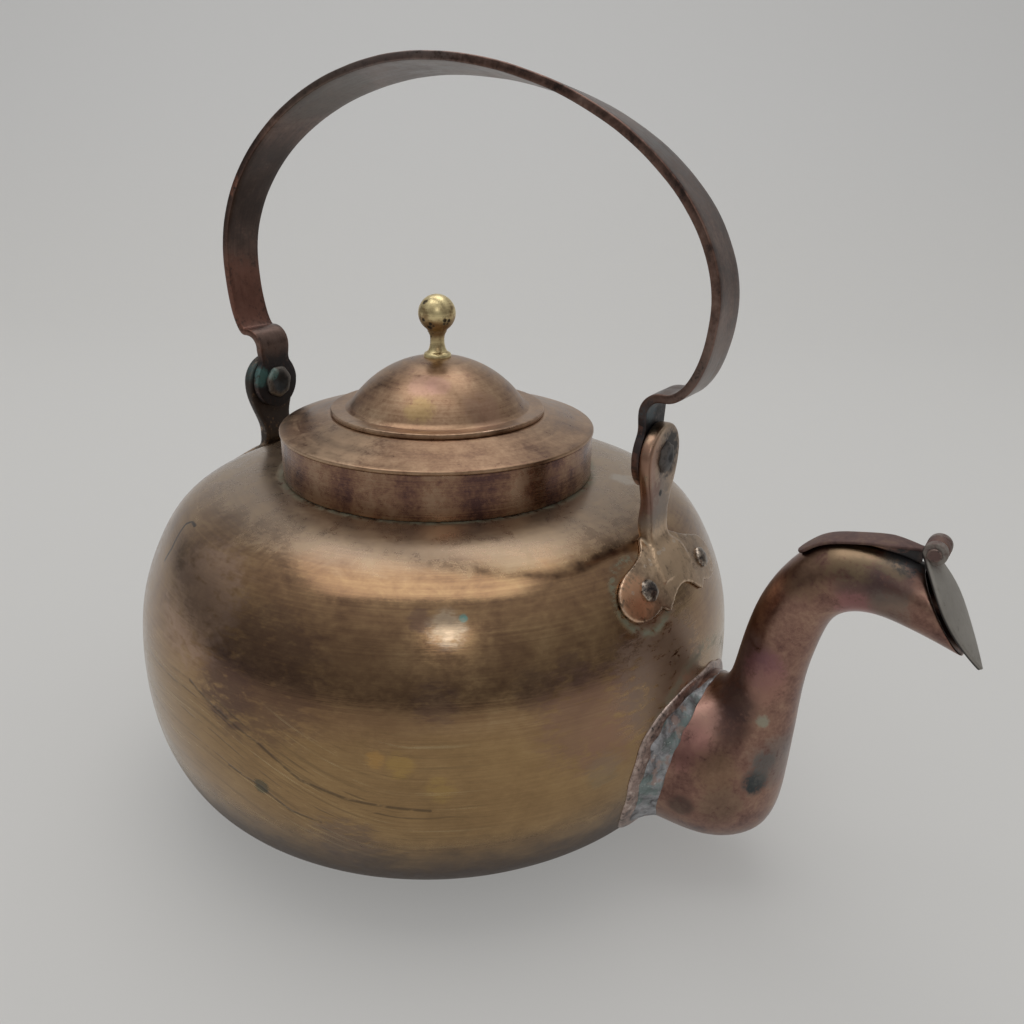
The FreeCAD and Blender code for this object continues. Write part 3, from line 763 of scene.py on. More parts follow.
@dataclass(frozen=True)
class BodyFinish:
    """Browned copper of the belly: burnished round, scratched below, dusty on the shoulder, with painted shade at the
    foot.
    """

    name: str = "burnished_body"
    tones: tuple[Colour, ...] = (
        (0.165, 0.09, 0.05), (0.265, 0.155, 0.08), (0.35, 0.218, 0.11), (0.46, 0.31, 0.165),
    )
    gold: Colour = (0.375, 0.245, 0.1)
    # painted shade: colour that darkens the belly towards the foot
    foot: Colour = (0.045, 0.032, 0.03)
    dust: Colour = (0.46, 0.37, 0.28)
    grime: Colour = (0.17, 0.22, 0.16)
    scratch_light: Colour = (0.5, 0.39, 0.22)
    scratch_dark: Colour = (0.17, 0.11, 0.055)
    score_dark: Colour = (0.045, 0.032, 0.022)
    seam_dark: Colour = (0.03, 0.022, 0.018)
    score_width: tuple[float, float] = (0.42, 0.1)
    stroke_width: float = 0.75
    seam_width: float = 0.9
    score_levels: tuple[float, ...] = (79.5, 75.5, 68.0, 60.5)
    seam: tuple[Spot, ...] = (
        (-41.1, -79.1, 113.9), (-45.2, -77.2, 114.2), (-47.7, -77.6, 112.6), (-46.8, -84.8, 106.5),
        (-48.7, -86.7, 102.4),
    )
    strokes: tuple[tuple[Spot, ...], ...] = (
        (
            (-14.1, -107.5, 79.0), (1.5, -109.3, 73.8), (16.4, -108.6, 68.4), (29.2, -106.1, 60.0),
            (43.7, -101.0, 56.0), (54.0, -95.6, 54.6), (63.8, -89.5, 53.5),
        ),
        ((3.2, -110.0, 56.7), (15.6, -108.8, 53.2), (24.5, -106.6, 47.4), (34.0, -103.4, 45.4)),
    )
    patches: tuple[Patch, ...] = stains(
        ((14.0, -105.5, 89.0), 26.0, (0.115, 0.062, 0.045), 0.55),
        ((2.5, -107.9, 82.5), 13.0, (0.075, 0.04, 0.042), 0.4),
        ((45.0, -94.0, 90.0), 22.0, (0.17, 0.092, 0.05), 0.2),
        ((63.1, -85.5, 86.9), 8.0, (0.11, 0.06, 0.062), 0.4),
        ((53.6, -79.5, 108.0), 4.0, (0.13, 0.075, 0.07), 0.4),
        ((83.5, -65.1, 88.4), 8.0, (0.12, 0.066, 0.055), 0.4),
        ((89.4, -54.4, 91.6), 6.0, (0.12, 0.066, 0.055), 0.4),
        ((100.3, -34.8, 87.3), 12.0, (0.12, 0.062, 0.066), 0.45),
        ((56.8, -93.8, 68.9), 5.0, (0.5, 0.32, 0.085), 0.35),
        ((66.2, -87.8, 60.9), 5.0, (0.47, 0.31, 0.09), 0.32),
        ((50.6, -97.2, 70.5), 3.4, (0.52, 0.29, 0.085), 0.45),
        ((15.6, -108.7, 53.4), 3.0, (0.085, 0.08, 0.045), 0.85, 0.3),
        ((95.1, -53.1, 76.0), 20.0, (0.25, 0.14, 0.115), 0.45),
        ((99.0, -46.0, 66.0), 13.0, (0.3, 0.16, 0.11), 0.4),
        ((98.8, -48.6, 57.5), 8.0, (0.25, 0.215, 0.15), 0.3),
        ((40.1, -100.4, 38.0), 13.0, (0.15, 0.105, 0.1), 0.45),
        ((63.0, -72.0, 108.2), 1.5, (0.1, 0.33, 0.31), 0.8),
        # painted highlight: pale spot where the window light glints on the belly
        ((60.6, -76.2, 105.6), 6.5, (0.55, 0.45, 0.33), 0.5),
        # painted light: lighter, duller patch that lifts the belly below the ear plate, against the shade and the
        # spout's reflection there
        ((104.0, -22.0, 80.0), 24.0, (0.3, 0.205, 0.15), 0.75, 0.45),
        ((62.7, 29.4, 120.4), 6.0, (0.6, 0.6, 0.57), 0.45),
        ((-18.0, -98.0, 101.0), 22.0, (0.46, 0.31, 0.23), 0.55),
        ((-60.0, 88.0, 92.0), 30.0, (0.13, 0.07, 0.055), 0.5),
        ((20.0, 107.0, 62.0), 22.0, (0.4, 0.27, 0.095), 0.4),
        ((-96.0, 48.0, 70.0), 20.0, (0.22, 0.12, 0.1), 0.4),
        ((-102.0, -34.0, 84.0), 18.0, (0.12, 0.064, 0.06), 0.4),
    )

    def paint(self) -> Paint:
        """Makes the material.

        Returns:
            Metal with tarnish, burnishing lines, stains, sweeping scratches, grime by the fittings, dust on top,
            painted shade at the foot, a gold tint below that is partly painted reflection, and a few patches of
            painted light.
        """
        r = Recipe(self.name)
        big = r.grain((48.0, 48.0, 30.0), 4.0, 0.55, 1.0, 0.8)
        middle = r.grain((11.0, 11.0, 7.0), 5.0, 0.66, 4.0, 0.5)
        fine = r.grain((2.2, 2.2, 1.3), 3.0, 0.6, 7.0)
        hair = r.grain((60.0, 60.0, 0.55), 4.0, 0.65, 9.0)
        ragged = r.grain((6.0, 6.0, 2.2), 6.0, 0.72, 13.0, 0.3)
        tone = big * 0.4 + middle * 0.36 + fine * 0.14 + hair * 0.22 - 0.06
        r.colour = r.ramp(tone, tuple(zip(BODY_PLACES, self.tones)))
        rise, span, turn = r.axis(2), r.span(), r.turn()
        # gold tint on the lower belly: partly copper's own tone, partly a painted reflection of the lit floor
        r.over((rise + middle * 16.0).step(94.0, 78.0) * 0.45, self.gold)
        for patch in self.patches:
            patch.lay(r, ragged)
        sweep = turn * 110.0
        level = rise + turn.step(-1.72, -0.98) * 25.0
        lower = rise.step(84.0, 74.0) * rise.step(20.0, 40.0) * r.near((5.0, -108.0, 62.0), 92.0, 50.0)
        scored = r.field((sweep / 60.0, level / 1.7, 0.0), 5.0, 0.74, 3.0)
        scratch = scored.step(0.57, 0.68) * lower
        wander = level + (r.field((sweep / 26.0, level / 9.0, 0.0), 3.0, 0.6, 5.0) - 0.5) * 3.4
        broken = r.field((sweep / 12.0, level / 3.0, 0.0), 3.0, 0.6, 11.0).step(0.46, 0.58)
        score = (wander - self.score_levels[0]).size().step(*self.score_width)
        for place in self.score_levels[1:]:
            score = score.most((wander - place).size().step(*self.score_width))
        score = score * broken * lower * 0.7
        ragged_edge = (ragged - 0.5).step(-0.16, 0.02)
        for stroke in self.strokes:
            score = score.most(r.line(stroke, self.stroke_width) * ragged_edge)
        r.over(scratch * 0.45, self.scratch_light)
        r.over(scored.step(0.47, 0.37) * lower * 0.5, self.scratch_dark)
        r.over(score * 0.58, self.score_dark)
        r.over(r.line(self.seam, self.seam_width) * 0.9, self.seam_dark)
        # painted shade: the bottom darkens and dulls towards the foot, where the floor round it lies in shadow
        foot = (rise + (middle - 0.5) * 16.0).step(46.0, 21.0)
        r.over(foot * 0.88, self.foot)
        r.deaden(foot * 0.9)
        top = (rise + middle * 6.0).step(118.0, 123.0)
        r.over(top * 0.42, self.dust)
        lidline = span.step(60.0, 57.2) * rise.step(119.0, 121.0) * rise.step(126.0, 122.0)
        lobes = r.ring((95.5, -22.5, 104.6), 11.8, 2.4).most(r.ring((-95.5, 22.5, 104.6), 11.8, 2.4))
        root = r.ring((112.0, 0.0, 42.0), 37.0, 4.0)
        grime = (lidline * 0.9).most(root * 0.7).most(lobes) * (fine * 0.5 + middle * 0.5).step(0.4, 0.56)
        r.over(grime * 0.65, self.grime)
        roughness = 0.15 + (middle * 0.6 + fine * 0.4).step(0.36, 0.66) * 0.12
        roughness = roughness + top * 0.1 + grime * 0.25 + scratch * 0.1
        height = hair * 0.35 + fine * 0.3 + middle * 0.5 - score * 1.2 - scratch * 0.25
        r.coat(0.3, 0.28)
        return r.dress(roughness, 1.0 - grime * 0.5 - top * 0.12, height, 0.045)


@dataclass(frozen=True)
class CopperFinish:
    """Worn, browned copper of the smaller pieces."""

    name: str
    tones: tuple[Colour, ...]
    streak: Spot = (60.0, 60.0, 0.7)
    streak_share: float = 0.3
    cloud: float = 20.0
    sheen: tuple[float, float] = (0.26, 0.44)
    edge: Colour = (0.46, 0.22, 0.13)
    edge_share: float = 0.4
    grime: Colour = (0.13, 0.17, 0.13)
    grime_share: float = 0.25
    bands: float = 0.0
    # painted shade: a plane's point and normal, and the dark colour laid below it and on the underside
    under: tuple[Spot, Spot, Colour] | None = None
    patches: tuple[Patch, ...] = ()
    seed: float = 0.0

    def paint(self) -> Paint:
        """Makes the material.

        Returns:
            Metal with clouds of tarnish, fine streaks, worn edges that can also carry painted highlights, stains,
            specks of grime, darkened hollows and, where given, painted shade underneath and patches of painted light
            and shade.
        """
        r = Recipe(self.name)
        clouds = r.grain((self.cloud,) * 3, 5.0, 0.6, self.seed, 0.6)
        middle = r.grain((self.cloud * 0.26,) * 3, 5.0, 0.66, self.seed + 3.1, 0.4)
        fine = r.grain((1.2,) * 3, 3.0, 0.6, self.seed + 6.0)
        streaks = r.grain(self.streak, 4.0, 0.62, self.seed + 7.7)
        tone = clouds * 0.42 + middle * 0.38 + fine * 0.2 + (streaks - 0.5) * self.streak_share
        if self.bands:
            around = r.field((r.turn() * 3.6, 0.0, 0.0), 2.0, 0.6, self.seed)
            tone = tone + (around - 0.5) * self.bands
        r.colour = r.ramp(tone, tuple(zip(COPPER_PLACES, self.tones)))
        for patch in self.patches:
            patch.lay(r, middle * 0.6 + fine * 0.4)
        bend = r.node("ShaderNodeNewGeometry", output="Pointiness")
        # rubbed edges, read from pointiness; where the edge colour is bright, as on the lid, it also paints
        # highlights along the rims
        worn = bend.step(0.515, 0.56) * (middle * 0.6 + fine * 0.4).step(0.38, 0.52)
        if r.dull:
            worn = worn * (1.0 - r.dull)
        r.over(worn * self.edge_share, self.edge)
        # darkens concave spots, read from pointiness, and random specks with the grime colour
        hollow = bend.step(0.492, 0.455)
        speck = fine.step(0.6, 0.72) * clouds.step(0.48, 0.62)
        specks_and_hollows = (speck * 0.6).most(hollow) * self.grime_share
        r.over(specks_and_hollows, self.grime)
        # painted shade: dark below a plane and on the underside turned away from it, for a part's shadowed gap
        if self.under:
            point, normal, dark = self.under
            rise = r.rise_over(point, normal)
            domed = r.facing(normal).step(-0.2, -0.6) * rise.step(1.6, 1.2) * (0.55 + middle * 0.5)
            r.over(rise.step(0.3, -0.2).most(domed), dark)
        low, high = self.sheen
        roughness = low + (middle * 0.5 + streaks * 0.5).step(0.34, 0.66) * (high - low) + specks_and_hollows * 0.3 - worn * 0.05
        height = streaks * 0.3 + fine * 0.3 + middle * 0.5 - specks_and_hollows * 0.5
        r.coat(0.22, 0.3)
        return r.dress(roughness, 1.0 - specks_and_hollows * 0.6, height, 0.06)


@dataclass(frozen=True)
class SolderFinish:
    """Dull tin solder with green salts."""

    name: str = "tin_solder"
    tones: tuple[Colour, ...] = ((0.1, 0.094, 0.096), (0.36, 0.36, 0.375), (0.62, 0.62, 0.64))
    green: Colour = (0.2, 0.28, 0.26)
    pink: Colour = (0.44, 0.3, 0.25)
    white: Colour = (0.66, 0.68, 0.66)

    def paint(self) -> Paint:
        """Makes the material.

        Returns:
            Lumpy grey metal with dark hollows, green tints and white specks.
        """
        r = Recipe(self.name)
        lumps = r.grain((4.5,) * 3, 5.0, 0.65, 1.0, 0.5)
        tint = r.grain((9.0,) * 3, 3.0, 0.6, 4.0)
        r.colour = r.ramp(lumps, tuple(zip(SOLDER_PLACES, self.tones)))
        r.over(tint.step(0.46, 0.62) * 0.65, self.green)
        flush = r.grain((6.0,) * 3, 4.0, 0.6, 14.0)
        r.over(flush.step(0.54, 0.64) * 0.7, self.pink)
        speck = r.grain((1.1,) * 3, 2.0, 0.5, 8.0).step(0.66, 0.72)
        r.over(speck * 0.7, self.white)
        return r.dress(0.42 + lumps * 0.25, 0.6, lumps, 0.7)


@dataclass(frozen=True)
class BrassFinish:
    """Yellow brass with casting pits."""

    name: str = "pitted_brass"
    light: Colour = (0.88, 0.73, 0.4)
    dark: Colour = (0.32, 0.21, 0.1)
    brown: Colour = (0.27, 0.165, 0.085)
    pit_dark: Colour = (0.025, 0.015, 0.01)
    middle: float = 177.9
    neck: tuple[float, float] = (166.0, 171.5)
    pits: tuple[tuple[float, float, float, float], ...] = (
        (-1.7, -4.7, 182.0, 1.2), (-1.0, -4.9, 182.7, 0.9), (5.8, -3.0, 176.2, 1.0), (5.6, -3.0, 174.9, 0.9),
        (6.4, -1.4, 176.0, 1.0), (6.1, -1.8, 174.8, 0.9), (1.4, -5.6, 175.1, 0.9), (0.5, -4.8, 173.8, 1.3),
        (-1.1, -6.0, 176.3, 0.9), (2.4, -5.4, 174.0, 0.9), (-4.2, 4.4, 176.0, 0.8), (3.0, 5.4, 175.4, 0.7),
        (-6.0, -1.6, 175.2, 0.8),
    )

    def paint(self) -> Paint:
        """Makes the material.

        Returns:
            Polished brass, browner below, with dark pits.
        """
        r = Recipe(self.name)
        clouds = r.grain((5.0,) * 3, 4.0, 0.6, 2.0)
        fine = r.grain((1.2,) * 3, 3.0, 0.6, 3.0)
        turning = r.grain((20.0, 20.0, 0.4), 3.0, 0.6, 5.0)
        rise = r.axis(2) + (clouds - 0.5) * 9.0 + (fine - 0.5) * 3.0
        below = rise.step(self.middle + 1.0, self.middle - 3.5) * rise.step(*self.neck)
        r.colour = r.blend((clouds * 0.6 + turning * 0.2 + fine * 0.2).step(0.3, 0.56), self.dark, self.light)
        r.over(below * 0.8, self.brown)
        pit = fine.step(0.66, 0.72) * below
        for x, y, z, reach in self.pits:
            pit = pit.most(r.near((x, y, z), reach, reach * 0.5))
        r.over(pit * 0.92, self.pit_dark)
        roughness = 0.26 + clouds * 0.14 + below * 0.12 + pit * 0.4
        return r.dress(roughness, 1.0 - pit * 0.7, turning * 0.2 - pit, 0.15)


def install(piece: Piece, slot: str, paint: Paint, *nodes: str, body: Body = Body.KETTLE) -> None:
    """Puts a piece on its body, in its finish, in place of the plain solids.

    Args:
        piece: The piece.
        slot: Slot of its finish in the record; not used.
        paint: Its material.
        nodes: Plain solids that it stands for.
        body: Body that it moves with.
    """
    piece.data.materials.clear()
    piece.data.materials.append(paint)
    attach(piece, body.value)
    if nodes:
        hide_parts(*nodes)
    LOG.info("%s: %d faces on %s", piece.name, len(piece.data.polygons), body.value)


@dataclass
class Belly:
    """The raised body, its bottom pan and the collar round the neck."""

    radius: float = 110.0
    seat_height: float = 121.5
    foot_radius: float = 71.995
    foot_hole: float = 65.0
    seat_radius: float = 59.996
    neck_radius: float = 53.7
    wall: float = 1.5
    pan_wall: float = 1.4
    pan_rim: float = 10.0
    collar_wall: float = 1.3
    collar_height: float = 12.0
    segments: int = 320
    shares: tuple = (
        (0.775, 0.066), (0.889, 0.138), (0.962, 0.255), (0.996, 0.4), (0.999, 0.54),
        (0.978, 0.68), (0.918, 0.82), (0.838, 0.92), (0.728, 0.97),
    )
    rows: int = 170
    play: float = 0.1
    waves: tuple = ((0.22, 58.0, 2.0), (0.05, 17.0, 5.0))

    def __post_init__(self) -> None:
        """Lays out the outline of the belly."""
        points = [(self.foot_radius, 0.0)]
        points += [(r * self.radius, z * self.seat_height) for r, z in self.shares]
        points.append((self.seat_radius, self.seat_height))
        self.outline = Curve(points, (1.0, 0.3), (-1.0, 0.0))
        table = [self.outline.at(place) for place in shares(TABLE_ROWS)]
        shoulder = [p for p in table if p.y > 0.6 * self.seat_height][::-1]
        self.levels, self.spans = [p.y for p in table], [p.x for p in table]
        self.shoulder_levels, self.shoulder_spans = [p.y for p in shoulder], [p.x for p in shoulder]

    def radius_at(self, height: float) -> float:
        """Outer radius at a height."""
        return read_off(self.levels, self.spans, height)

    def normal_at(self, height: float) -> Vector:
        """Outward direction (radius, height) at a height."""
        low, high = max(height - 0.4, 0.0), min(height + 0.4, self.seat_height)
        return Vector((high - low, self.radius_at(low) - self.radius_at(high))).normalized()

    def height_at(self, radius: float) -> float:
        """Height of the shoulder at a radius."""
        return read_off(self.shoulder_spans, self.shoulder_levels, radius)

    def gap(self, point: Vector) -> float:
        """Distance of a point outside the belly, below zero inside.

        Args:
            point: Place in millimetres.

        Returns:
            The distance.
        """
        away = hypot(point.x, point.y)
        if point.z > 0.8 * self.seat_height and away < 0.95 * self.radius:
            level = self.height_at(away)
            return (point.z - level) * self.normal_at(level).y
        return (away - self.radius_at(point.z)) * max(self.normal_at(point.z).x, 0.6)

    def onto(self, point: Vector, way: Vector, off: float) -> Vector:
        """Slides a point on to the belly.

        Args:
            point: Point to move.
            way: Outward direction to move along.
            off: Distance to leave above the belly.

        Returns:
            The moved point.
        """
        reach = solve(lambda s: self.gap(point + way * s) - off, -45.0, 45.0)
        return point + way * reach

    def uneven(self, point: Vector) -> Vector:
        """Moves a point of the shell for hand-raised metal."""
        share = smooth(2.0, 14.0, point.z) * smooth(self.seat_height, self.seat_height - 10.0, point.z)
        return point + Vector((point.x, point.y, 0.0)).normalized() * (swell(point, self.waves) * share)

    def inside(self, place: float, depth: float) -> Vector:
        """Point (radius, height) at a depth under the outline."""
        way = self.outline.along(place)
        return self.outline.at(place) + Vector((-way.y, way.x)) * depth

    def make_shell(self) -> Piece:
        """Raised shell with its foot ring and neck hole.

        Returns:
            The piece.
        """
        hole, neck, seat = self.foot_hole, self.neck_radius, self.seat_height
        outer = [self.outline.at(k / self.rows) for k in range(2, self.rows + 1)]
        rim = [(neck + 0.4, seat), (neck, seat - 0.4), (neck, seat - self.wall)]
        inner = [self.inside(k / self.rows, self.wall) for k in range(4, self.rows - 2, 2)]
        profile = [(hole, 0.0), (self.foot_radius - 1.2, 0.0), *outer, *rim, *inner[::-1], (hole, self.wall)]
        return turned(profile, self.segments, self.uneven).build("body_sheet", 50.0)

    def make_pan(self) -> Piece:
        """Bottom pan nested in the foot.

        Returns:
            The piece.
        """
        floor, low = self.foot_hole - self.play, self.wall + self.play
        top = low + self.pan_wall
        rim = [k / 400 for k in range(40) if 2.0 < self.outline.at(k / 400).y < self.pan_rim]
        under, over = ([self.inside(place, depth) for place in rim] for depth in (low, top))
        base = [(0.0, 0.12), (floor - 9.0, 0.06), (floor - 0.4, 0.0), (floor, 0.3), (floor, low)]
        return turned([*base, *under, *over[::-1], (floor - 1.0, top), (0.0, top)], 160).build("bottom_pan")

    def make_collar(self) -> Piece:
        """Upright ring that the lid sits over.

        Returns:
            The piece.
        """
        low, high = self.seat_height - 0.05, self.seat_height + self.collar_height
        inner, outer = self.neck_radius, self.neck_radius + self.collar_wall
        profile = rounded(((inner, low, 0.0), (outer, low, 0.0), (outer, high, 0.5), (inner, high, 0.5)))
        return turned(divided(profile, 3.0), 192).build("collar_ring")

    def install(self, paint: Paint, cut: Piece) -> None:
        """Puts the pieces in place.

        Args:
            paint: Their finish.
            cut: Solid that opens the way into the spout.
        """
        shell = self.make_shell()
        hole = shell.modifiers.new("way_to_spout", "BOOLEAN")
        hole.operation, hole.solver, hole.object = "DIFFERENCE", "EXACT", cut
        settle(shell)
        shade(shell, 50.0)
        bpy.data.objects.remove(cut)
        install(shell, "body_copper", paint, "body_shell")
        install(self.make_pan(), "body_copper", paint, "base_pan")
        install(self.make_collar(), "body_copper", paint, "neck_collar")


@dataclass
class Spout:
    """The gooseneck, its flange and solder, and the hinged flap on its mouth."""

    belly: Belly
    reach: float = 76.0
    crest: float = 128.3
    throat: float = 21.0
    wall: float = 1.3
    stations: tuple = (
        (-0.118, 0.522, -0.368, 0.116, 1.36), (0.0, 0.538, -0.053, 0.116, 1.3), (0.057, 0.544, 0.2, 0.117, 1.17),
        (0.087, 0.555, 0.342, 0.174, 0.98), (0.109, 0.572, 0.396, 0.312, 0.79), (0.128, 0.6, 0.41, 0.475, 0.62),
        (0.147, 0.663, 0.424, 0.627, 0.525), (0.174, 0.748, 0.455, 0.729, 0.5), (0.226, 0.843, 0.495, 0.799, 0.49),
        (0.303, 0.92, 0.546, 0.829, 0.486), (0.408, 0.979, 0.605, 0.841, 0.481), (0.539, 1.0, 0.678, 0.842, 0.476),
        (0.671, 0.995, 0.763, 0.832, 0.467), (0.803, 0.973, 0.875, 0.813, 0.443), (0.934, 0.931, 1.039, 0.779, 0.39),
    )
    solder_share: float = 0.88
    solder_climb: float = 3.0
    flange_wall: float = 0.9
    flange_far_width: float = 31.5
    flange_half_height: float = 27.6
    flange_half_width: float = 38.5
    flange_middle: float = 44.0
    dents: tuple = (
        ((124.5, -14.0, 68.0), 11.0, 1.5), ((135.0, -13.0, 46.0), 7.0, 1.0), ((126.0, 12.0, 60.0), 9.0, 0.8),
    )
    waves: tuple = ((0.22, 21.0, 4.0), (0.06, 7.0, 8.0))
    ripple: float = 18.0
    skin_steps: int = 149
    bore_steps: int = 59
    lip_steps: tuple = ((-0.15, -0.13), (0.0, -0.45), (0.0, -0.85), (-0.15, -1.17), (-0.5, -1.3))
    flange_sides: int = 160
    solder_sides: int = 240
    fillet_steps: int = 18
    lumps: tuple = ((0.8, 6.5, 2.0), (0.5, 2.6, 7.0))
    barrel_sides: int = 36
    flap_steps: int = 80
    leaf_steps: int = 60
    packing_steps: int = 24
    mouth_shares: tuple[float, float] = (0.776, 0.982)
    mouth_slope: float = 58.5
    flap_gap: float = 1.6
    flap_wall: float = 1.4
    flap_length: float = 36.1
    flap_half_width: float = 10.6
    flap_shares: tuple = ((0.17, 0.72), (0.36, 0.98), (0.52, 0.98), (0.72, 0.72), (0.9, 0.33))
    knuckle_radius: float = 3.3
    knuckle_rise: float = 2.8
    hinge_half: float = 4.7
    leaf_knuckle: float = 3.4
    knuckle_gap: float = 0.2
    pin_radius: float = 1.2
    pin_head_radius: float = 1.9
    pin_head_height: float = 0.8
    leaf_wall: float = 1.0
    packing_depth: float = 4.0
    sides: int = 80

    def __post_init__(self) -> None:
        """Lays out the bore line, the mouth and the hinge."""
        rows = [
            (self.belly.radius + a * self.reach, b * self.crest, self.belly.radius + c * self.reach, d * self.crest,
             w * self.throat) for a, b, c, d, w in self.stations
        ]
        middles = [Vector((0.5 * (a + c), 0.0, 0.5 * (b + d))) for a, b, c, d, _ in rows]
        places = [0.0]
        for p, q in zip(middles, middles[1:]):
            places.append(places[-1] + (q - p).length)
        self.places = [p / places[-1] for p in places]
        self.inner = Lane(self.places, [Vector((a, 0.0, b)) for a, b, _, _, _ in rows])
        self.outer = Lane(self.places, [Vector((c, 0.0, d)) for _, _, c, d, _ in rows])
        self.width = Lane(self.places, [Vector((w, 0.0, 0.0)) for *_, w in rows])
        slope = radians(self.mouth_slope)
        forth, high = self.mouth_shares
        self.mouth_top = Vector((self.belly.radius + forth * self.reach, 0.0, high * self.crest))
        self.mouth_down = Vector((cos(slope), 0.0, -sin(slope)))
        self.mouth_out = Vector((sin(slope), 0.0, cos(slope)))
        self.hinge = self.mouth_top - self.mouth_down * self.knuckle_rise
        self.hinge += self.mouth_out * (self.flap_gap + self.knuckle_radius)

    def point(self, place: float, turn: float, grow: float = 0.0) -> Vector:
        """Point on the skin of the spout.

        Args:
            place: Share of the way from the root to the mouth.
            turn: Angle round the section, from the outer bend through the near side.
            grow: Distance outside the skin.

        Returns:
            The point.
        """
        a, b, w = self.inner.at(place), self.outer.at(place), self.width.at(place).x
        middle, half = (a + b) * 0.5, (b - a) * 0.5
        long = half.length + grow
        c, s = cos(turn), sin(turn)
        return middle + half.normalized() * (long * c) - ACROSS * ((w + grow) * s)

    def root_place(self, turn: float, off: float, grow: float = 0.0) -> float:
        """Place at which the skin meets the belly."""
        return solve(lambda v: self.belly.gap(self.point(v, turn, grow)) - off, 0.0, self.places[4])

    def mouth_place(self, turn: float, off: float, grow: float) -> float:
        """Place at which the skin meets the plane of the mouth.

        Args:
            turn: Angle round the section.
            off: Height over the plane.
            grow: Distance outside the skin.

        Returns:
            The place.
        """
        return solve(
            lambda v: (self.point(v, turn, grow) - self.mouth_top).dot(self.mouth_out) - off, self.places[9], 1.0
        )

    def dented(self, point: Vector) -> Vector:
        """Moves a point of the skin for hand-hammered copper.

        Args:
            point: Place in millimetres.

        Returns:
            The moved point.
        """
        height = swell(point, self.waves)
        for place, reach, depth in self.dents:
            sink = depth * smooth(reach, 0.0, (point - Vector(place)).length)
            point = point + ACROSS * (sink if place[1] < 0.0 else -sink)
        return point + Vector([rough(point, self.ripple, seed) for seed in (1.0, 3.0, 6.0)]) * height

    def make_tube(self) -> Piece:
        """Gooseneck with its slanted mouth and inner wall.

        Returns:
            The piece.
        """
        columns = []
        for turn in angles(self.sides):
            low, high = self.root_place(turn, -0.6), self.mouth_place(turn, -0.5, 0.0)
            column = [self.point(lerp(low, high, t), turn) for t in shares(self.skin_steps)]
            column += [self.point(self.mouth_place(turn, off, grow), turn, grow) for off, grow in self.lip_steps]
            low, high = self.root_place(turn, -1.4, -self.wall), self.mouth_place(turn, -1.2, -self.wall)
            column += [self.point(lerp(high, low, t), turn, -self.wall) for t in shares(self.bore_steps)]
            columns.append([self.dented(p) for p in column])
        return merge(Sheet().tube(list(zip(*columns)), ring=True), self.make_packing()).build("gooseneck", 60.0)

    def make_core(self) -> Piece:
        """Solid of the bore at the root, to open the belly.

        Returns:
            The piece.
        """
        places = [lerp(0.0, self.places[2], t) for t in shares(11)]
        loops = [[self.point(place, turn, -self.wall) for turn in angles(48)] for place in places]
        return Sheet().tube(loops).build("bore")

    def on_flange(self, turn: float, share: float, off: float) -> Vector:
        """Point of the flange.

        Args:
            turn: Angle round it, from the far side over the top.
            share: Share of the way from its middle to its edge.
            off: Height above the belly.

        Returns:
            The point.
        """
        wide, tall = cos(turn), sin(turn)
        near = smooth(0.35, -0.35, wide)
        power, half = lerp(2.0, 2.8, near), lerp(self.flange_far_width, self.flange_half_width, near)
        uneven = 0.035 * rough(Vector((30.0 * wide, 30.0 * tall, 0.0)), 9.0, 6.0)
        edge = share * (1.0 + 0.01 * sin(3 * turn + 1.0) + uneven)
        edge *= (abs(wide) ** power + abs(tall) ** power) ** (-1.0 / power)
        flat = Vector((80.0, half * edge * wide, self.flange_middle + self.flange_half_height * edge * tall))
        return self.belly.onto(flat, Vector((1.0, 0.0, 0.0)), off)

    def make_flange(self) -> Piece:
        """Lip of the spout laid on the belly.

        Returns:
            The piece.
        """
        rows = [(s, 0.1 + self.flange_wall) for s in (0.62, 0.7, 0.78, 0.86, 0.93, 0.965)]
        rows += [(0.985, 0.1 + self.flange_wall * 0.8), (0.997, 0.1 + self.flange_wall * 0.4), (0.997, 0.05)]
        rows += [(0.93, -0.2), (0.78, -0.2), (0.62, -0.2)]
        loops = [[self.on_flange(turn, share, off) for turn in angles(self.flange_sides)] for share, off in rows]
        return Sheet().tube(loops, ring=True).build("spout_flange", 60.0)

    def make_solder(self) -> Piece:
        """Lumpy fillet of solder between the flange and the spout.

        Returns:
            The piece.
        """
        columns, seat = [], self.flange_wall
        for angle in angles(self.solder_sides):
            turn = atan2(-cos(angle), -sin(angle))
            ragged = 0.05 * rough(Vector((20.0 * cos(angle), 20.0 * sin(angle), 0.0)), 3.6, 3.0)
            foot = self.on_flange(angle, self.solder_share + ragged, seat + 0.12)
            low = self.root_place(turn, seat + 0.2)
            high = self.root_place(turn, seat + self.solder_climb * (1.0 + 4.0 * ragged))
            head = self.point(high, turn, 0.1)
            belly = lerp(self.point(low, turn, 0.1), (foot + head) * 0.5, 0.62)
            out = (belly - self.point(self.root_place(turn, -1.0), turn, -8.0)).normalized()
            column = []
            for s in shares(self.fillet_steps):
                p = foot * (1 - s) ** 2 + belly * (2 * s * (1 - s)) + head * s ** 2
                column.append(p + out * (swell(p, self.lumps) * sin(pi * s) ** 0.6))
            column += [self.point(high, turn, -0.8), self.point(low, turn, -0.6)]
            columns.append(column + [self.on_flange(angle, self.solder_share - 0.02, 0.4)])
        return Sheet().tube(list(zip(*columns)), ring=True).build("solder_fillet", 70.0)

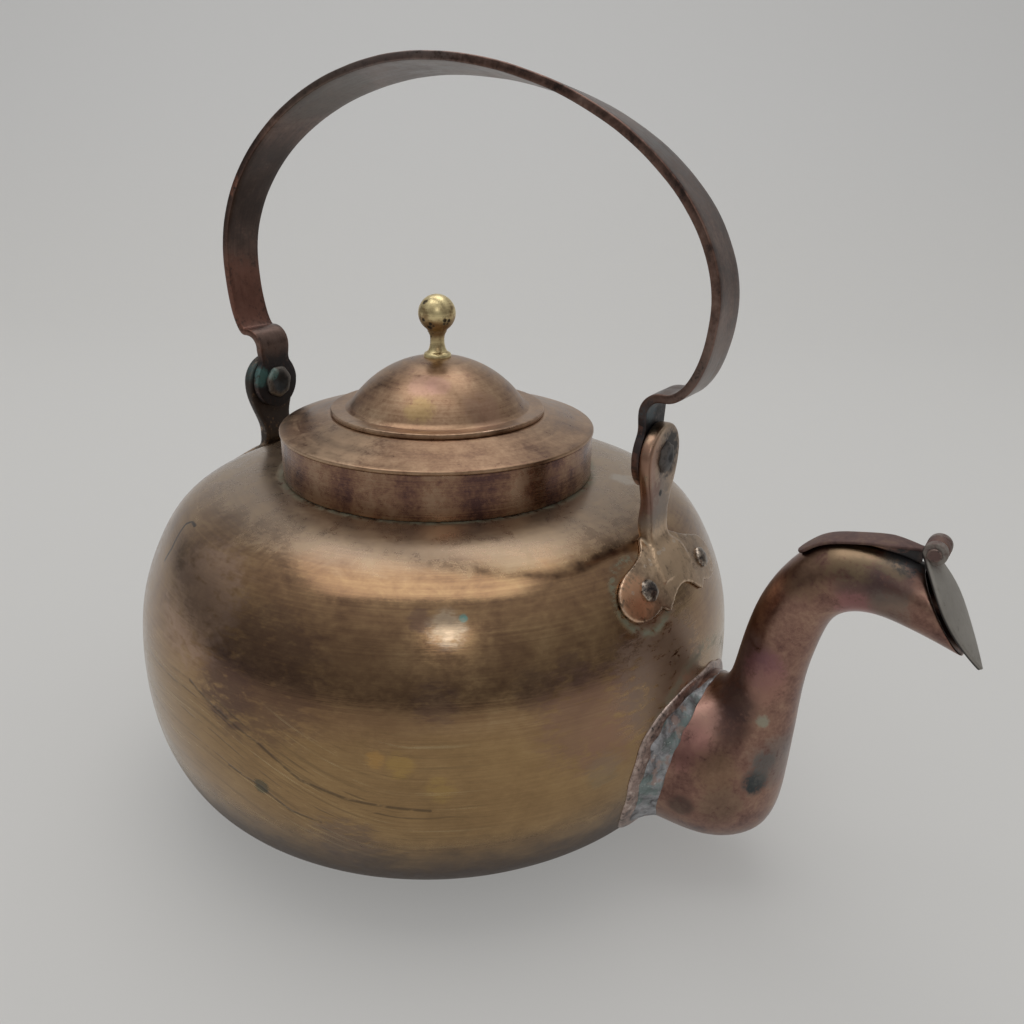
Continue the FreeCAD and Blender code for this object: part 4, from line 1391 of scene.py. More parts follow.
    def barrel(self, low: float, high: float, radius: float, seed: float) -> Sheet:
        """Knuckle or pin about the hinge's axis.

        Args:
            low: Where it starts across the spout.
            high: Where it ends.
            radius: Its radius.
            seed: Shift that gives another pattern of wear.

        Returns:
            The sheet.
        """
        loops = []
        edge = min(0.4, 0.3 * (high - low))
        wide, wider = 1.0 - edge / radius, 1.0 - 0.3 * edge / radius
        for y, share in (
            (low, 0.55), (low, wide), (low + 0.3 * edge, wider), (low + edge, 1.0),
            (lerp(low, high, 0.35), 1.01), (lerp(low, high, 0.65), 1.01),
            (high - edge, 1.0), (high - 0.3 * edge, wider), (high, wide), (high, 0.55),
        ):
            loop = []
            for turn in angles(self.barrel_sides):
                flat = Vector((cos(turn), 0.0, sin(turn))) * (radius * share)
                p = self.hinge + flat + ACROSS * y
                loop.append(p + flat.normalized() * (0.1 * rough(p, 3.0, seed)))
            loops.append(loop)
        return Sheet().tube(loops)

    def leaf_line(self) -> Curve:
        """Middle line of the hinge leaf, from its tip on the beak to the knuckle.

        Returns:
            The line.
        """
        lift = 0.3 + 0.5 * self.leaf_wall
        path = []
        tip = lerp(self.places[9], self.places[10], 0.35)
        for place, more in ((tip, 0.0), (self.places[10], 0.1), (self.places[11], 0.4)):
            way = (self.inner.at(place + 0.01) - self.inner.at(place - 0.01)).normalized()
            path.append(self.inner.at(place) + lifted(way) * (lift + more))
        for back, down in ((13.0, 0.3), (6.5, 0.5), (2.4, 0.9)):
            path.append(Vector((self.hinge.x - back, 0.0, self.hinge.z - down)))
        return Curve(path)

    def make_packing(self) -> Sheet:
        """Wedge that fills the gap between the beak and the leaf.

        Returns:
            The sheet.
        """
        line = self.leaf_line()
        loops = []
        for t in shares(self.packing_steps):
            share, deep = lerp(0.45, 0.985, t), lerp(0.8, self.packing_depth, t)
            up, half = lifted(line.along(share)), lerp(2.6, 1.4, smooth(0.7, 0.9, share))
            loops.append([
                line.at(share) - ACROSS * x + up * (z - 0.5 * deep) for x, z in strip(half, 0.5 * deep, 0.4)
            ])
        return Sheet().tube(loops)

    def make_leaf(self) -> Piece:
        """Strip along the top of the beak, with the middle knuckle.

        Returns:
            The piece.
        """
        line = self.leaf_line()
        loops = []
        for share in shares(self.leaf_steps):
            up = lifted(line.along(share))
            tip = sqrt(max(1.0 - (1.0 - min(share / 0.1, 1.0)) ** 2, 0.0))
            half = self.hinge_half * lerp(0.12, 1.0, tip) * (1.0 + 0.02 * sin(9.0 * share))
            half = lerp(half, 0.5 * self.leaf_knuckle, min(max((share - 0.74) / 0.21, 0.0), 1.0))
            centre = line.at(share)
            loops.append([
                centre - ACROSS * x + up * (z - 0.35 * (x / self.hinge_half) ** 2)
                for x, z in strip(half, 0.5 * self.leaf_wall, 0.45)
            ])
        sheet = Sheet().tube(loops)
        roll = self.barrel(-0.5 * self.leaf_knuckle, 0.5 * self.leaf_knuckle, self.knuckle_radius, seed=4.0)
        return merge(sheet, roll).build("hinge_leaf", 50.0)

    def make_pin(self) -> Piece:
        """Hinge pin with its two hammered heads.

        Returns:
            The piece.
        """
        end = self.hinge_half + 0.1
        rod = self.barrel(-end, end, self.pin_radius, seed=3.0)
        left = self.barrel(-end - self.pin_head_height, -end + 0.1, self.pin_head_radius, seed=4.0)
        right = self.barrel(end - 0.1, end + self.pin_head_height, self.pin_head_radius, seed=4.0)
        return merge(rod, left, right).build("hinge_pin", 50.0)

    def on_mouth(self, down: float, across: float, out: float) -> Vector:
        """Point given in the plane of the mouth."""
        return self.mouth_top + self.mouth_down * down + self.mouth_out * out - ACROSS * across

    def make_flap(self) -> Piece:
        """Leaf-shaped flap, a little domed, with its two knuckles.

        Returns:
            The piece.
        """
        points = [(-self.knuckle_rise, self.hinge_half)]
        points += [(d * self.flap_length - self.knuckle_rise, w * self.flap_half_width) for d, w in self.flap_shares]
        points.append((self.flap_length - self.knuckle_rise, 0.5))
        line = Curve(points)
        loops = []
        for share in shares(self.flap_steps):
            p = line.at(share)
            half = max(p.y, 0.4)
            bulge = 0.9 * sin(pi * min(share * 1.02, 1.0)) * half / self.flap_half_width
            loop = []
            for x, z in strip(half, 0.5 * self.flap_wall, 0.5, 14):
                dome = bulge * (1.0 - (x / half) ** 2)
                wave = 0.12 * rough(Vector((p.x, x, 0.0)), 9.0, 3.0)
                loop.append(self.on_mouth(p.x, x, self.flap_gap + 0.5 * self.flap_wall + z + dome + wave))
            loops.append(loop)
        sheet = Sheet().tube(loops)
        start = 0.5 * self.leaf_knuckle + self.knuckle_gap
        near = self.barrel(-self.hinge_half, -start, self.knuckle_radius, seed=12.0)
        far = self.barrel(start, self.hinge_half, self.knuckle_radius, seed=11.0)
        return merge(sheet, near, far).build("mouth_flap", 50.0)

    def install(self, copper: Paint, lip: Paint, solder: Paint, leaf: Paint, flap: Paint, pin: Paint) -> None:
        """Puts the pieces in place.

        Args:
            copper: Finish of the gooseneck.
            lip: Finish of the flange.
            solder: Finish of the fillet.
            leaf: Finish of the hinge leaf.
            flap: Finish of the flap.
            pin: Finish of the hinge pin.
        """
        install(self.make_tube(), "spout_copper", copper, "spout_tube")
        install(self.make_flange(), "spout_copper", lip)
        install(self.make_solder(), "solder", solder, "spout_solder")
        install(self.make_leaf(), "spout_copper", leaf, "spout_hinge_leaf")
        install(self.make_pin(), "rivet_copper", pin, "flap_hinge_pin")
        install(self.make_flap(), "flap_copper", flap, "spout_flap", body=Body.FLAP)


@dataclass
class Ear:
    """One ear of the handle: eye, stem and riveted plate."""

    belly: Belly
    side: Side
    face: float = 85.866
    wall: float = 4.0
    pivot_height: float = 142.0
    eye_radius: float = 12.0
    eye_rise: float = 10.9
    neck_half: float = 6.9
    foot_half: float = 10.2
    plate_height: float = 105.997
    plate_wall: float = 1.3
    plate_half_width: float = 31.0
    plate_lean: float = 4.0
    plate_shift: tuple[float, float] = (-2.6, 0.3)
    stem_extra: float = 1.8
    plate_length: float = 24.0
    lobe_shares: tuple = (
        (0.22, -0.6), (0.36, -0.45), (0.62, -0.32), (0.9, -0.18), (1.0, 0.02), (0.97, 0.2), (0.84, 0.35),
        (0.65, 0.38), (0.48, 0.33),
    )
    nib_shares: tuple = ((0.38, 0.43), (0.29, 0.35))
    arch_share: float = 0.2
    rivet_height: float = 104.997
    rivet_spacing: float = 37.0
    rivet_head_radius: float = 3.6
    rivet_head_height: float = 1.5
    pivot_head_radius: float = 4.8
    pivot_head_height: float = 1.7
    pivot_dish_radius: float = 6.2
    pivot_dish_height: float = 1.8
    shank_radius: float = 3.2
    strap_wall: float = 2.8
    play: float = 0.1
    plate_rows: tuple = (0.0, 0.2, 0.4, 0.6, 0.8, 0.93, 1.0)
    lobe_steps: int = 70
    stem_steps: int = 96
    eye_steps: int = 24
    head_sides: int = 40
    head_marks: int = 7
    melt_size: float = 0.45
    ease_rounds: int = 5

    def turn(self, point: Vector) -> Vector:
        """Turns a point of the front ear to this ear's side."""
        return Vector((point.x * self.side.value, point.y * self.side.value, point.z))

    def on_belly(self, across: float, down: float, off: float) -> Vector:
        """Point of the plate.

        Args:
            across: Distance from the middle line.
            down: Distance below the plate's height, down the slope.
            off: Height above the belly.

        Returns:
            The point, for the front ear.
        """
        slope = self.belly.normal_at(self.plate_height)
        out = Vector((slope.x, 0.0, slope.y))
        fall = Vector((slope.y, 0.0, -slope.x))
        start = Vector((self.belly.radius_at(self.plate_height), 0.0, self.plate_height))
        return self.belly.onto(start + fall * down + ACROSS * across, out, off)

    def on_plate(self, across: float, down: float, off: float) -> Vector:
        """Point of the plate, which sits a little askew.

        Args:
            across: Distance from the middle line.
            down: Distance down the slope.
            off: Height above the belly.

        Returns:
            The point, for the front ear.
        """
        c, s = cos(radians(self.plate_lean)), sin(radians(self.plate_lean))
        aside, lower = self.plate_shift
        return self.on_belly(across * c - down * s + aside, across * s + down * c + lower, off)

    def make_plate(self) -> Sheet:
        """Bat-wing plate laid on the belly.

        Returns:
            The sheet.
        """
        scale = (self.plate_half_width, self.plate_length)
        lobe = Curve([(a * scale[0], d * scale[1]) for a, d in self.lobe_shares])
        edge = [lobe.at(t) for t in shares(self.lobe_steps)]
        edge += [Vector((a * scale[0], d * scale[1])) for a, d in self.nib_shares]
        last, end = edge[-1], Vector((0.0, self.arch_share * scale[1]))
        for t in (0.15, 0.3, 0.5, 0.7, 0.85, 1.0):
            edge.append(Vector((last.x * (1 - t), lerp(last.y, end.y, t * (2 - t)))))
        first = self.lobe_shares[0][1]
        spine = [Vector((0.0, lerp(first, self.arch_share, t) * scale[1])) for t in shares(len(edge) - 1)]
        sheet = Sheet()
        for sign in (1.0, -1.0):
            tops, lows = [], []
            for a, b in zip(spine, edge):
                line = [lerp(a, b, s) for s in self.plate_rows]
                for group, off in ((tops, self.play + self.plate_wall), (lows, self.play)):
                    group.append(sheet.row([self.on_plate(sign * p.x, p.y, off) for p in line]))
            for group in (tops, lows):
                for a, b in zip(group, group[1:]):
                    sheet.join(a, b, closed=False)
            ends = [([r[side] for r in tops], [r[side] for r in lows]) for side in (-1, 0)]
            for a, b in (ends[0], (tops[0], lows[0]), ends[1]):
                sheet.join(a, b, closed=False)
        return sheet

    def make_stem(self) -> Sheet:
        """Upright bar with its round eye, bent on to the plate.

        Returns:
            The sheet.
        """
        middle = self.face + 0.5 * self.wall
        top = self.pivot_height + self.eye_rise
        line = Curve([
            (middle, 0.0, top), (middle, 0.0, 140.0), (middle, -0.4, 128.0), (middle + 0.4, -1.2, 121.5),
            self.on_plate(0.0, -11.0, 1.5), self.on_plate(0.0, -6.0, 0.9), self.on_plate(0.0, 1.0, 0.8),
        ])
        loops = []
        count, fine = self.stem_steps, self.eye_steps
        for i in range(count + 1):
            share = i / count if i > fine else (1.0 - cos(0.5 * pi * i / fine)) * fine / count
            centre, up = line.at(share), lifted(line.along(share)).normalized()
            rise = centre.z - self.pivot_height
            if rise > 0.0:
                half = self.eye_radius * sqrt(max(1.0 - (rise / self.eye_rise) ** 2, 0.0004))
            else:
                half = lerp(self.eye_radius, self.neck_half, smooth(-1.0, -21.0, rise))
            half = max(half, lerp(0.0, self.foot_half, smooth(120.0, 110.0, centre.z)))
            thick = 0.5 * lerp(self.wall, self.plate_wall, smooth(122.0, 112.0, centre.z))
            extra = 0.5 * self.stem_extra * smooth(-11.8, -25.0, rise) * smooth(109.0, 116.0, centre.z)
            centre, thick = centre - up * extra, thick + extra
            section = strip(half, thick, min(1.5, 0.8 * thick), 8)
            loops.append([centre + ACROSS * x - up * z for x, z in section])
        return Sheet().tube(loops)

    def make_ear(self) -> Piece:
        """Eye, stem and plate forged into one.

        Returns:
            The piece.
        """
        plate, stem = self.make_plate(), self.make_stem()
        for sheet in (plate, stem):
            sheet.points = [self.turn(p) for p in sheet.points]
        piece = merge(stem, plate).build(f"{self.side.word}_ear_forging")
        melt = piece.modifiers.new("melt", "REMESH")
        melt.mode, melt.voxel_size = "VOXEL", self.melt_size * MM
        ease = piece.modifiers.new("ease", "SMOOTH")
        ease.factor, ease.iterations = 0.5, self.ease_rounds
        settle(piece)
        shade(piece, 180.0)
        return piece

    def head(
        self, base: Vector, out: Vector, profile: Sequence[tuple[float, float]], lobes: float, seed: float
    ) -> Sheet:
        """Hammered head.

        Args:
            base: Middle of its seat.
            out: Direction that it stands in.
            profile: Points (radius, height) from the rim of the seat to the top.
            lobes: Depth of the hammer marks round its rim, as a share.
            seed: Shift that gives another pattern.

        Returns:
            The sheet.
        """
        stand = out.to_track_quat("Z", "Y").to_matrix()
        loops = []
        for radius, height in profile:
            loop = []
            for turn in angles(self.head_sides):
                dent = 1.0 + lobes * cos(self.head_marks * turn + seed) * smooth(0.0, 3.0, radius)
                flat = Vector((radius * dent * cos(turn), radius * dent * sin(turn), height))
                p = base + stand @ flat
                loop.append(p + out * (0.2 * rough(p, 2.3, seed)))
            loops.append(loop)
        return Sheet().tube(loops)

    def make_rivets(self) -> Piece:
        """Two domed rivets through the plate.

        Returns:
            The piece.
        """
        sheets = []
        r, h = self.rivet_head_radius, self.rivet_head_height
        profile = [(r * 0.9, -0.9), (r, 0.0), (r * 0.97, h * 0.35)]
        profile += [(r * 0.8, h * 0.75), (r * 0.5, h * 0.95), (0.4, h)]
        down = self.plate_height - self.rivet_height
        for k, across in enumerate((0.5 * self.rivet_spacing, -0.5 * self.rivet_spacing)):
            base = self.on_plate(across, down, self.play + self.plate_wall)
            slope = self.belly.normal_at(base.z)
            flat = Vector((base.x, base.y, 0.0)).normalized()
            out = Vector((slope.x * flat.x, slope.x * flat.y, slope.y))
            sheets.append(self.head(self.turn(base), self.turn(out), profile, 0.03, 3.0 * k + self.side.value))
        return merge(*sheets).build(f"{self.side.word}_rivet_heads", 60.0)

    def make_pivot(self) -> Piece:
        """Peened pivot with a starred head outside and a dished head inside.

        Returns:
            The piece.
        """
        outside = Vector((self.face + self.wall, 0.0, self.pivot_height))
        inside = Vector((self.face - 0.3 - self.strap_wall, 0.0, self.pivot_height))
        r, h = self.pivot_head_radius, self.pivot_head_height
        star = [(r * 0.8, -0.5), (r, 0.1), (r * 0.98, h * 0.45), (r * 0.72, h * 0.85)]
        star += [(r * 0.4, h), (0.9, h * 0.72), (0.2, h * 0.6)]
        r, h = self.pivot_dish_radius, self.pivot_dish_height
        dish = [(r * 0.9, -0.3), (r, 0.1), (r, h * 0.5), (r * 0.86, h * 0.95)]
        dish += [(r * 0.6, h), (r * 0.35, h * 0.7), (0.3, h * 0.55)]
        shank = [(self.shank_radius, height) for height in (-8.0, -4.0, -0.2)]
        out = Vector((1.0, 0.0, 0.0))
        heads = ((outside, out, star, 0.06, 2.0), (inside, -out, dish, 0.03, 5.0), (outside, out, shank, 0.0, 1.0))
        sheets = [self.head(self.turn(base), self.turn(way), *rest) for base, way, *rest in heads]
        return merge(*sheets).build(f"{self.side.word}_pivot_heads", 60.0)

    def install(self, copper: Paint, rivet: Paint) -> None:
        """Puts the pieces in place.

        Args:
            copper: Finish of the ear.
            rivet: Finish of the rivets and the pivot.
        """
        word = self.side.word
        install(self.make_ear(), "ear_copper", copper, f"{word}_ear")
        install(self.make_rivets(), "rivet_copper", rivet, f"{word}_ear_rivets")
        install(self.make_pivot(), "rivet_copper", rivet, f"{word}_pivot_rivet")


@dataclass
class Strap:
    """The flat strap handle, joggled in to an eyed tab at each end."""

    crown_height: float = 258.3
    crown_offset: float = -1.8
    widest_height: float = 189.8
    front_reach: float = 105.766
    rear_reach: float = 99.766
    arch_power: float = 1.04
    wall: float = 2.8
    crown_half: float = 10.0
    leg_half: float = 8.0
    edge: float = 0.55
    roll: float = 8.5
    ledge_start: float = 91.566
    ledge_height: float = 161.0
    ledge_bend: float = 4.5
    tab_face: float = 85.566
    pivot_height: float = 142.0
    tab_neck_half: float = 7.0
    tab_eye_radius: float = 10.5
    tab_top_half: float = 7.6
    bend_steps: int = 12
    tab_steps: int = 70
    arch_steps: int = 180

    def arch(self, angle: float) -> Vector:
        """Point of the outer line of the arch at an angle from the rear ledge over the crown.

        Args:
            angle: Angle in radians.

        Returns:
            The point.
        """
        toward, rise = -cos(angle), sin(angle)
        side = 1.0 if toward > 0.0 else -1.0
        reach = self.front_reach if toward > 0.0 else self.rear_reach
        if rise >= 0.0:
            x = self.crown_offset + side * (reach - side * self.crown_offset) * abs(toward) ** self.arch_power
            z = self.widest_height + (self.crown_height - self.widest_height) * rise ** self.arch_power
        else:
            x = side * (self.ledge_start + (reach - self.ledge_start) * abs(toward))
            z = self.widest_height - (self.widest_height - self.ledge_height) * abs(rise)
        return Vector((x, 0.0, z))

    def end_line(self, side: Side) -> list[tuple[Vector, float, float]]:
        """Middle line from the ledge down to one eye.

        Args:
            side: Which end of the strap.

        Returns:
            Points, each with the half width and the lean of the strap there.
        """
        flip, bend = side.value, self.ledge_bend + 0.5 * self.wall
        line_x = self.tab_face - 0.5 * self.wall
        top = self.ledge_height + 0.5 * self.wall
        drop = top - bend
        line = [(Vector((flip * (line_x + bend), 0.0, top)), self.leg_half, 0.0)]
        for k in range(1, self.bend_steps + 1):
            a = 0.5 * pi * k / self.bend_steps
            here = Vector((flip * (line_x + bend - bend * sin(a)), 0.0, drop + bend * cos(a)))
            line.append((here, lerp(self.leg_half, self.tab_top_half, k / self.bend_steps), 0.0))
        base = self.pivot_height - self.tab_eye_radius
        for k in range(1, self.tab_steps + 1):
            z = lerp(drop, base, sin(0.5 * pi * k / self.tab_steps))
            rise = z - self.pivot_height
            circle = sqrt(max(self.tab_eye_radius ** 2 - rise ** 2, 0.06))
            neck = lerp(self.tab_neck_half, self.tab_top_half, smooth(151.0, drop, z))
            half = circle if rise < 0.0 else 0.5 * (circle + neck + sqrt((circle - neck) ** 2 + 1.5))
            line.append((Vector((flip * line_x, 0.0, z)), half, 0.0))
        return line

    def middle_line(self) -> list[tuple[Vector, float, float]]:
        """Middle line of the whole strap, from the rear eye over the crown to the front eye.

        Returns:
            Points, each with the half width and the lean of the strap there.
        """
        arch = []
        for k in range(self.arch_steps + 1):
            angle = radians(-90.0 + 360.0 * k / self.arch_steps)
            up = lifted((self.arch(angle + 0.004) - self.arch(angle - 0.004)).normalized())
            share = max(sin(angle), 0.0) ** 2
            arch.append((
                self.arch(angle) - up * (0.5 * self.wall), lerp(self.leg_half, self.crown_half, share),
                radians(self.roll) * share,
            ))
        return self.end_line(Side.REAR)[::-1] + arch + self.end_line(Side.FRONT)

    def install(self, paint: Paint) -> None:
        """Puts the strap in place in its finish.

        Args:
            paint: Its finish.
        """
        line = self.middle_line()
        loops = []
        for i, (centre, half, lean) in enumerate(line):
            up = lifted((line[min(i + 1, len(line) - 1)][0] - line[max(i - 1, 0)][0]).normalized())
            across, lift = ACROSS * cos(lean) - up * sin(lean), up * cos(lean) + ACROSS * sin(lean)
            wave = 1.0 + 0.012 * rough(centre, 24.0, 3.0)
            loops.append([
                centre + across * (x * wave) + lift * (z + 0.1 * rough(centre + across * x, 9.0, 6.0))
                for x, z in strip(half, 0.5 * self.wall, self.edge, 8)
            ])
        piece = Sheet().tube(loops).build("handle_bow", 50.0)
        install(piece, "handle_copper", paint, "handle_strap", body=Body.HANDLE)


@dataclass
class Lid:
    """The cap lid with its stepped dome and brass knob."""

    seat: float = 121.5
    radius: float = 56.496
    wall: float = 1.2
    skirt_height: float = 15.5
    overhang: float = 0.4
    rise: float = 5.0
    dome_seat: float = 9.0
    brim_radius: float = 38.598
    brim_height: float = 1.7
    brim_width: float = 6.2
    dome_rise: float = 18.0
    knob_seat: float = 162.584
    knob_radius: float = 6.6
    knob_height: float = 22.0
    knob_foot: float = 4.9
    knob_waist: float = 2.5
    washer_radius: float = 4.6
    washer_height: float = 1.0
    play: float = 0.1
    sides: int = 256
    dome_steps: int = 40

    @property
    def rim(self) -> float:
        """Height of the skirt's top."""
        return self.seat + self.skirt_height

    @property
    def plate_top(self) -> float:
        """Height of the flat under the dome."""
        return self.rim + self.rise + self.wall

    def uneven(self, point: Vector) -> Vector:
        """Moves a point of the lid for hand-made metal.

        Args:
            point: Place in millimetres.

        Returns:
            The moved point.
        """
        flat = Vector((point.x, point.y, 0.0))
        if flat.length < 1.0:
            return point
        lift = Vector((0.0, 0.0, 0.06 * rough(point, 21.0, 9.0)))
        return point + flat.normalized() * (0.1 * rough(point, 30.0, 4.0)) + lift

    def make_skirt(self) -> Piece:
        """Upright band of the lid.

        Returns:
            The piece.
        """
        inner, outer, low = self.radius - self.wall, self.radius, self.seat + self.play
        profile = rounded(((inner, low, 0.2), (outer, low, 0.35), (outer, self.rim, 0.2), (inner, self.rim, 0.2)))
        return turned(divided(profile, 1.2), self.sides, self.uneven).build("lid_band", 60.0)

    def make_plate(self) -> Piece:
        """Sloping top of the lid with its seamed edge.

        Returns:
            The piece.
        """
        edge, flat = self.radius + self.overhang, self.brim_radius + 1.0
        hole = self.brim_radius - self.dome_seat
        low, top = self.rim + self.play, self.plate_top
        profile = rounded((
            (hole, top - self.wall, 0.0), (flat, top - self.wall, 3.0), (edge - 1.2, low, 0.3), (edge, low, 0.4),
            (edge, low + self.wall + 0.1, 0.6), (flat, top, 3.0), (hole, top, 0.0)))
        return turned(divided(profile, 1.2), self.sides, self.uneven).build("lid_shoulder", 60.0)

    def make_dome(self) -> Piece:
        """Raised dome with its stepped brim.

        Returns:
            The piece.
        """
        foot = self.brim_radius - self.brim_width
        base = self.plate_top + self.play
        top = base + self.brim_height
        ball = (foot ** 2 + self.dome_rise ** 2) / (2.0 * self.dome_rise)
        centre = top + self.dome_rise - ball
        start = asin(foot / ball)
        tilts = [start * (1.0 - t) for t in shares(self.dome_steps)]
        outside, inside = (
            [Vector((size * sin(a), centre + size * cos(a))) for a in tilts]
            for size in (ball, ball - self.wall)
        )
        brim = rounded((
            (foot - 3.0, base, 0.0), (self.brim_radius, base, 0.25), (self.brim_radius, top, 0.55),
            (foot + 0.9, top, 0.8), (foot, top + 0.8, 0.0)))
        profile = brim[:-1] + outside[1:] + inside[::-1][:-1] + [Vector((foot - 3.0, base + 1.0))]
        return turned(divided(profile, 1.4), 224, self.uneven).build("lid_dome_cap", 50.0)

    def make_knob(self) -> Piece:
        """Turned ball knob on a flared foot.

        Returns:
            The piece.
        """
        z, ball = self.knob_seat, self.knob_seat + self.knob_height - self.knob_radius
        half = [(0.0, -0.2), (self.knob_foot, -0.2), (self.knob_foot, 0.9), (self.knob_foot * 0.93, 1.5), (4.0, 1.75)]
        half += [(3.35, 2.3), (2.85, 3.4), (2.55, 4.8), (self.knob_waist, 6.4)]
        half += [(2.65, 7.6), (3.0, 8.5), (3.35, 9.0), (3.4, 9.5)]
        profile = [Vector((r, z + h)) for r, h in half]
        for k in range(2, 33):
            a = pi - lerp(asin(3.0 / self.knob_radius), pi, k / 32)
            profile.append(Vector((self.knob_radius * sin(a), ball + self.knob_radius * cos(a))))
        return turned(divided(profile, 0.7), 72).build("knob_ball", 50.0)

    def make_washer(self) -> Piece:
        """Washer under the dome with the peened end of the stem.

        Returns:
            The piece.
        """
        top = self.knob_seat - 2.2
        wide, low = self.washer_radius, -self.washer_height
        half = ((0.0, 0.0), (wide, 0.0), (wide, low), (3.0, low), (2.8, -1.6), (1.8, -2.0), (0.0, -2.1))
        return turned([(r, top + h) for r, h in half], 48).build("knob_washer_disc", 40.0)

    def install(self, copper: Paint, skirt: Paint, brass: Paint) -> None:
        """Puts the pieces in place.

        Args:
            copper: Finish of the lid's top.
            skirt: Finish of its band.
            brass: Finish of the knob.
        """
        install(self.make_skirt(), "lid_copper", skirt, "lid_skirt", body=Body.LID)
        install(self.make_plate(), "lid_copper", copper, "lid_top_plate", body=Body.LID)
        install(self.make_dome(), "lid_copper", copper, "lid_dome", body=Body.LID)
        install(self.make_knob(), "knob_brass", brass, "lid_knob", body=Body.LID)
        install(self.make_washer(), "knob_brass", brass, "knob_washer", body=Body.LID)


@dataclass(frozen=True)
class Lamp:
    """A soft rectangular light, in metres and watts."""

    name: str
    place: Spot
    aim: Spot
    size: tuple[float, float]
    power: float

    def hang(self, across: Vector) -> None:
        """Hangs the light with one edge along a given way.

        Args:
            across: Way that the edge follows.
        """
        data = bpy.data.lights.new(self.name, "AREA")
        data.shape, data.energy = "RECTANGLE", self.power
        data.size, data.size_y = self.size
        lamp = bpy.data.objects.new(self.name, data)
        back = (Vector(self.place) - Vector(self.aim)).normalized()
        across = (across - back * across.dot(back)).normalized()
        axes = Matrix((across, back.cross(across), back)).transposed()
        lamp.matrix_world = Matrix.Translation(Vector(self.place)) @ axes.to_4x4()
        bpy.context.scene.collection.objects.link(lamp)


